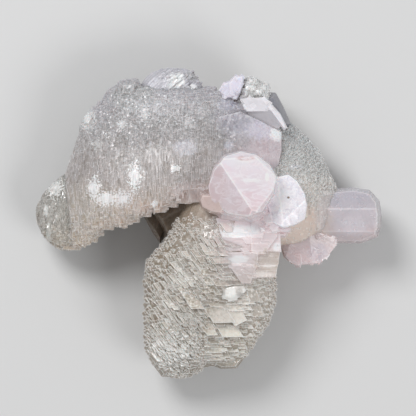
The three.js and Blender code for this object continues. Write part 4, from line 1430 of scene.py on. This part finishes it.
# A pale slope below the sugary head, a dark three-cornered face under it whose darkness is painted shade,
# and a white one beside it painted paler
ridgeCrystals = alike("outline z lean shade edgeShade faceShades faces", [
    ([(10.8, 42.8), (19, 43.4), (22, 41.4), (21, 38.2), (13, 38.2)], 38.6, 0.3, 0.6, 1.0, {0: 0.7},
     [(0.0, 0.3, 0.95, 17, 38.6, 39.6)]),
    ([(13.2, 39.2), (21.2, 39.4), (25.6, 34), (24, 32.4), (14, 35)], 39, 0.3, 0.3, 0.4, {0: 0.0},
     [(-0.22, -0.4, 0.89, 20.8, 38.8, 39.8)]),
    ([(19.8, 40.6), (22, 40.8), (24.8, 37.6), (27.2, 32.8), (25.8, 31.8), (23.8, 34.6), (20.6, 38.8)], 38.6,
     0.35, 0.8, 1.0, {0: 0.9}, [(0.35, 0.3, 0.88, 22.4, 37.6, 40.3)]),
], foot=22)

ridgeLook = dict(
    colours=[(31, (210, 208, 214)), (43, (206, 203, 207))], blocks=0.24,
    veil=dict(size=(3, 3, 3), cloud=0.2, wisps=0.2, colour=(236, 234, 240)),
    lines=dict(across=(0.3, 0.9, 0.3), spacing=0.8, sway=1.5, shade=0.03, height=0.05),
    paintedHollowShade=dict(reach=2.4, amount=0.3, colour=(150, 142, 142)), paintedGlow=0.12,
    paintedRimHighlight=dict(width=0.25, amount=0.5, colour=(252, 252, 255)), roughness=(0.12, 0.34), soft=0.7, depth=1.6,
)

ridgeStone = makeStone("ridgeStone", ridgeLook)
makeJoined(ridgeCrystals, "ridgeCrystals", ridgeStone, dict(
    seed=85, spacing=1.6, lattice=([0.8, 0.6, 0], [0.55, -0.83, 0], [0, 0, 1]), follow=0.9, tilt=0.04,
    width=(0.6, 1.8), length=(1.2, 3.4), height=(1, 1.4), proud=(-0.1, 0.16),
    where=lambda p, n: (n.z > 0.2) & (p.y > 39.4),
))

# Pink toothed crystals under the right wing
toothCrystals = alike("outline z edge faceShades faces", [
    ([(24.2, -6), (25.6, -3), (38.8, -2.4), (44.8, -5.6), (44.6, -7.6), (41.2, -11.8), (38.6, -14),
     (30.6, -14.8), (28.8, -14.2), (26.2, -12)], 25, 0.2, {0: 0.6, 1: 0.3, 2: 0.4},
     [(-0.04, -0.36, 0.93, 32, -8, 28.4), (0.3, -0.3, 0.9, 38, -7, 28), (-0.45, -0.2, 0.87, 28, -8, 28.2)]),
    ([(37, -10), (40.2, -10), (39.6, -13.4), (38.3, -14.9), (37, -13.6)], 24, 0.12, {0: 0.5},
     [(0.1, -0.36, 0.92, 38.2, -12, 26.6)]),
    ([(34, -10), (36.6, -10), (36.6, -13.4), (35.4, -14.9), (34, -13.8)], 24, 0.12, {0: 0.6},
     [(-0.1, -0.36, 0.92, 35.2, -12, 26.7)]),
    ([(29, -10), (32.8, -10), (33, -14), (31.6, -15.3), (29.6, -14.8)], 24, 0.12, {0: 0.8},
     [(-0.2, -0.36, 0.9, 30.8, -12, 27)]),
], lean=0.25, foot=8, edgeShade=0.9)

toothLook = dict(
    colours=[(-15, (226, 208, 210)), (-4, (222, 208, 208))],
    spots=[spot(38, -10, 4, 4, (208, 198, 207), strength=0.8)], blocks=0.09,
    veil=dict(size=(2.4, 2.4, 2.4), cloud=0.4, wisps=0.3, colour=(240, 228, 231)),
    lines=dict(across=(0.6, 0.7, 0.3), spacing=1.2, sway=6.0, shade=0.04, height=0.1),
    paintedHollowShade=dict(reach=2.0, amount=0.3, colour=(176, 150, 146)), paintedGlow=0.14,
    paintedRimHighlight=dict(width=0.3, amount=0.5, colour=(250, 242, 244)), roughness=(0.12, 0.36), soft=0.75, depth=3,
    clear=0.1,
)

toothStone = makeStone("toothStone", toothLook)
makeJoined(toothCrystals, "toothCrystals", toothStone, dict(
    seed=82, spacing=1.9, lattice=greyLattice, follow=0.6, tilt=0.12, width=(1, 2.6), length=(1, 2.6),
    height=(1.2, 2), proud=(-0.1, 0.25), where=lambda p, n: n.z > 0.2,
))


def makeTable():
    bpy.ops.mesh.primitive_plane_add(size=3, location=(0, 0, -0.2 * mm))
    table = bpy.context.object
    table.name = "table"
    material = bpy.data.materials.new("table")
    material.use_nodes = True
    shader = material.node_tree.nodes["Principled BSDF"]
    shader.inputs["Base Color"].default_value = (0.66, 0.66, 0.66, 1)
    shader.inputs["Roughness"].default_value = 0.8
    table.data.materials.append(material)


def addSoftLight(name, place, size, power):
    light = bpy.data.lights.new(name, "AREA")
    light.shape = "DISK"
    light.size = size
    light.energy = power
    lamp = bpy.data.objects.new(name, light)
    bpy.context.collection.objects.link(lamp)
    lamp.location = place
    lamp.rotation_euler = Vector(place).to_track_quat("Z", "Y").to_euler()


def addCamera():
    width = 0.1448  # what the camera takes in at the cluster's widest level
    distance = 1.4
    level = 0.022
    aside = -0.0002
    upward = 0.0052
    camera = bpy.data.cameras.new("camera")
    camera.lens = camera.sensor_width * distance / width
    view = bpy.data.objects.new("camera", camera)
    bpy.context.collection.objects.link(view)
    view.location = (aside, upward, distance + level)
    bpy.context.scene.camera = view


def lightRoom(colour, strength):
    world = bpy.data.worlds.new("room")
    bpy.context.scene.world = world
    world.use_nodes = True
    background = world.node_tree.nodes["Background"].inputs
    background["Color"].default_value = colour
    background["Strength"].default_value = strength


makeTable()
addSoftLight("key", place=(-0.32, 0.45, 0.85), size=0.4, power=5.4)
addSoftLight("fill", place=(0.5, -0.4, 0.75), size=0.45, power=2.8)
addCamera()
lightRoom(colour=(0.98, 0.99, 1, 1), strength=0.4)
bpy.context.scene.view_settings.view_transform = "Standard"
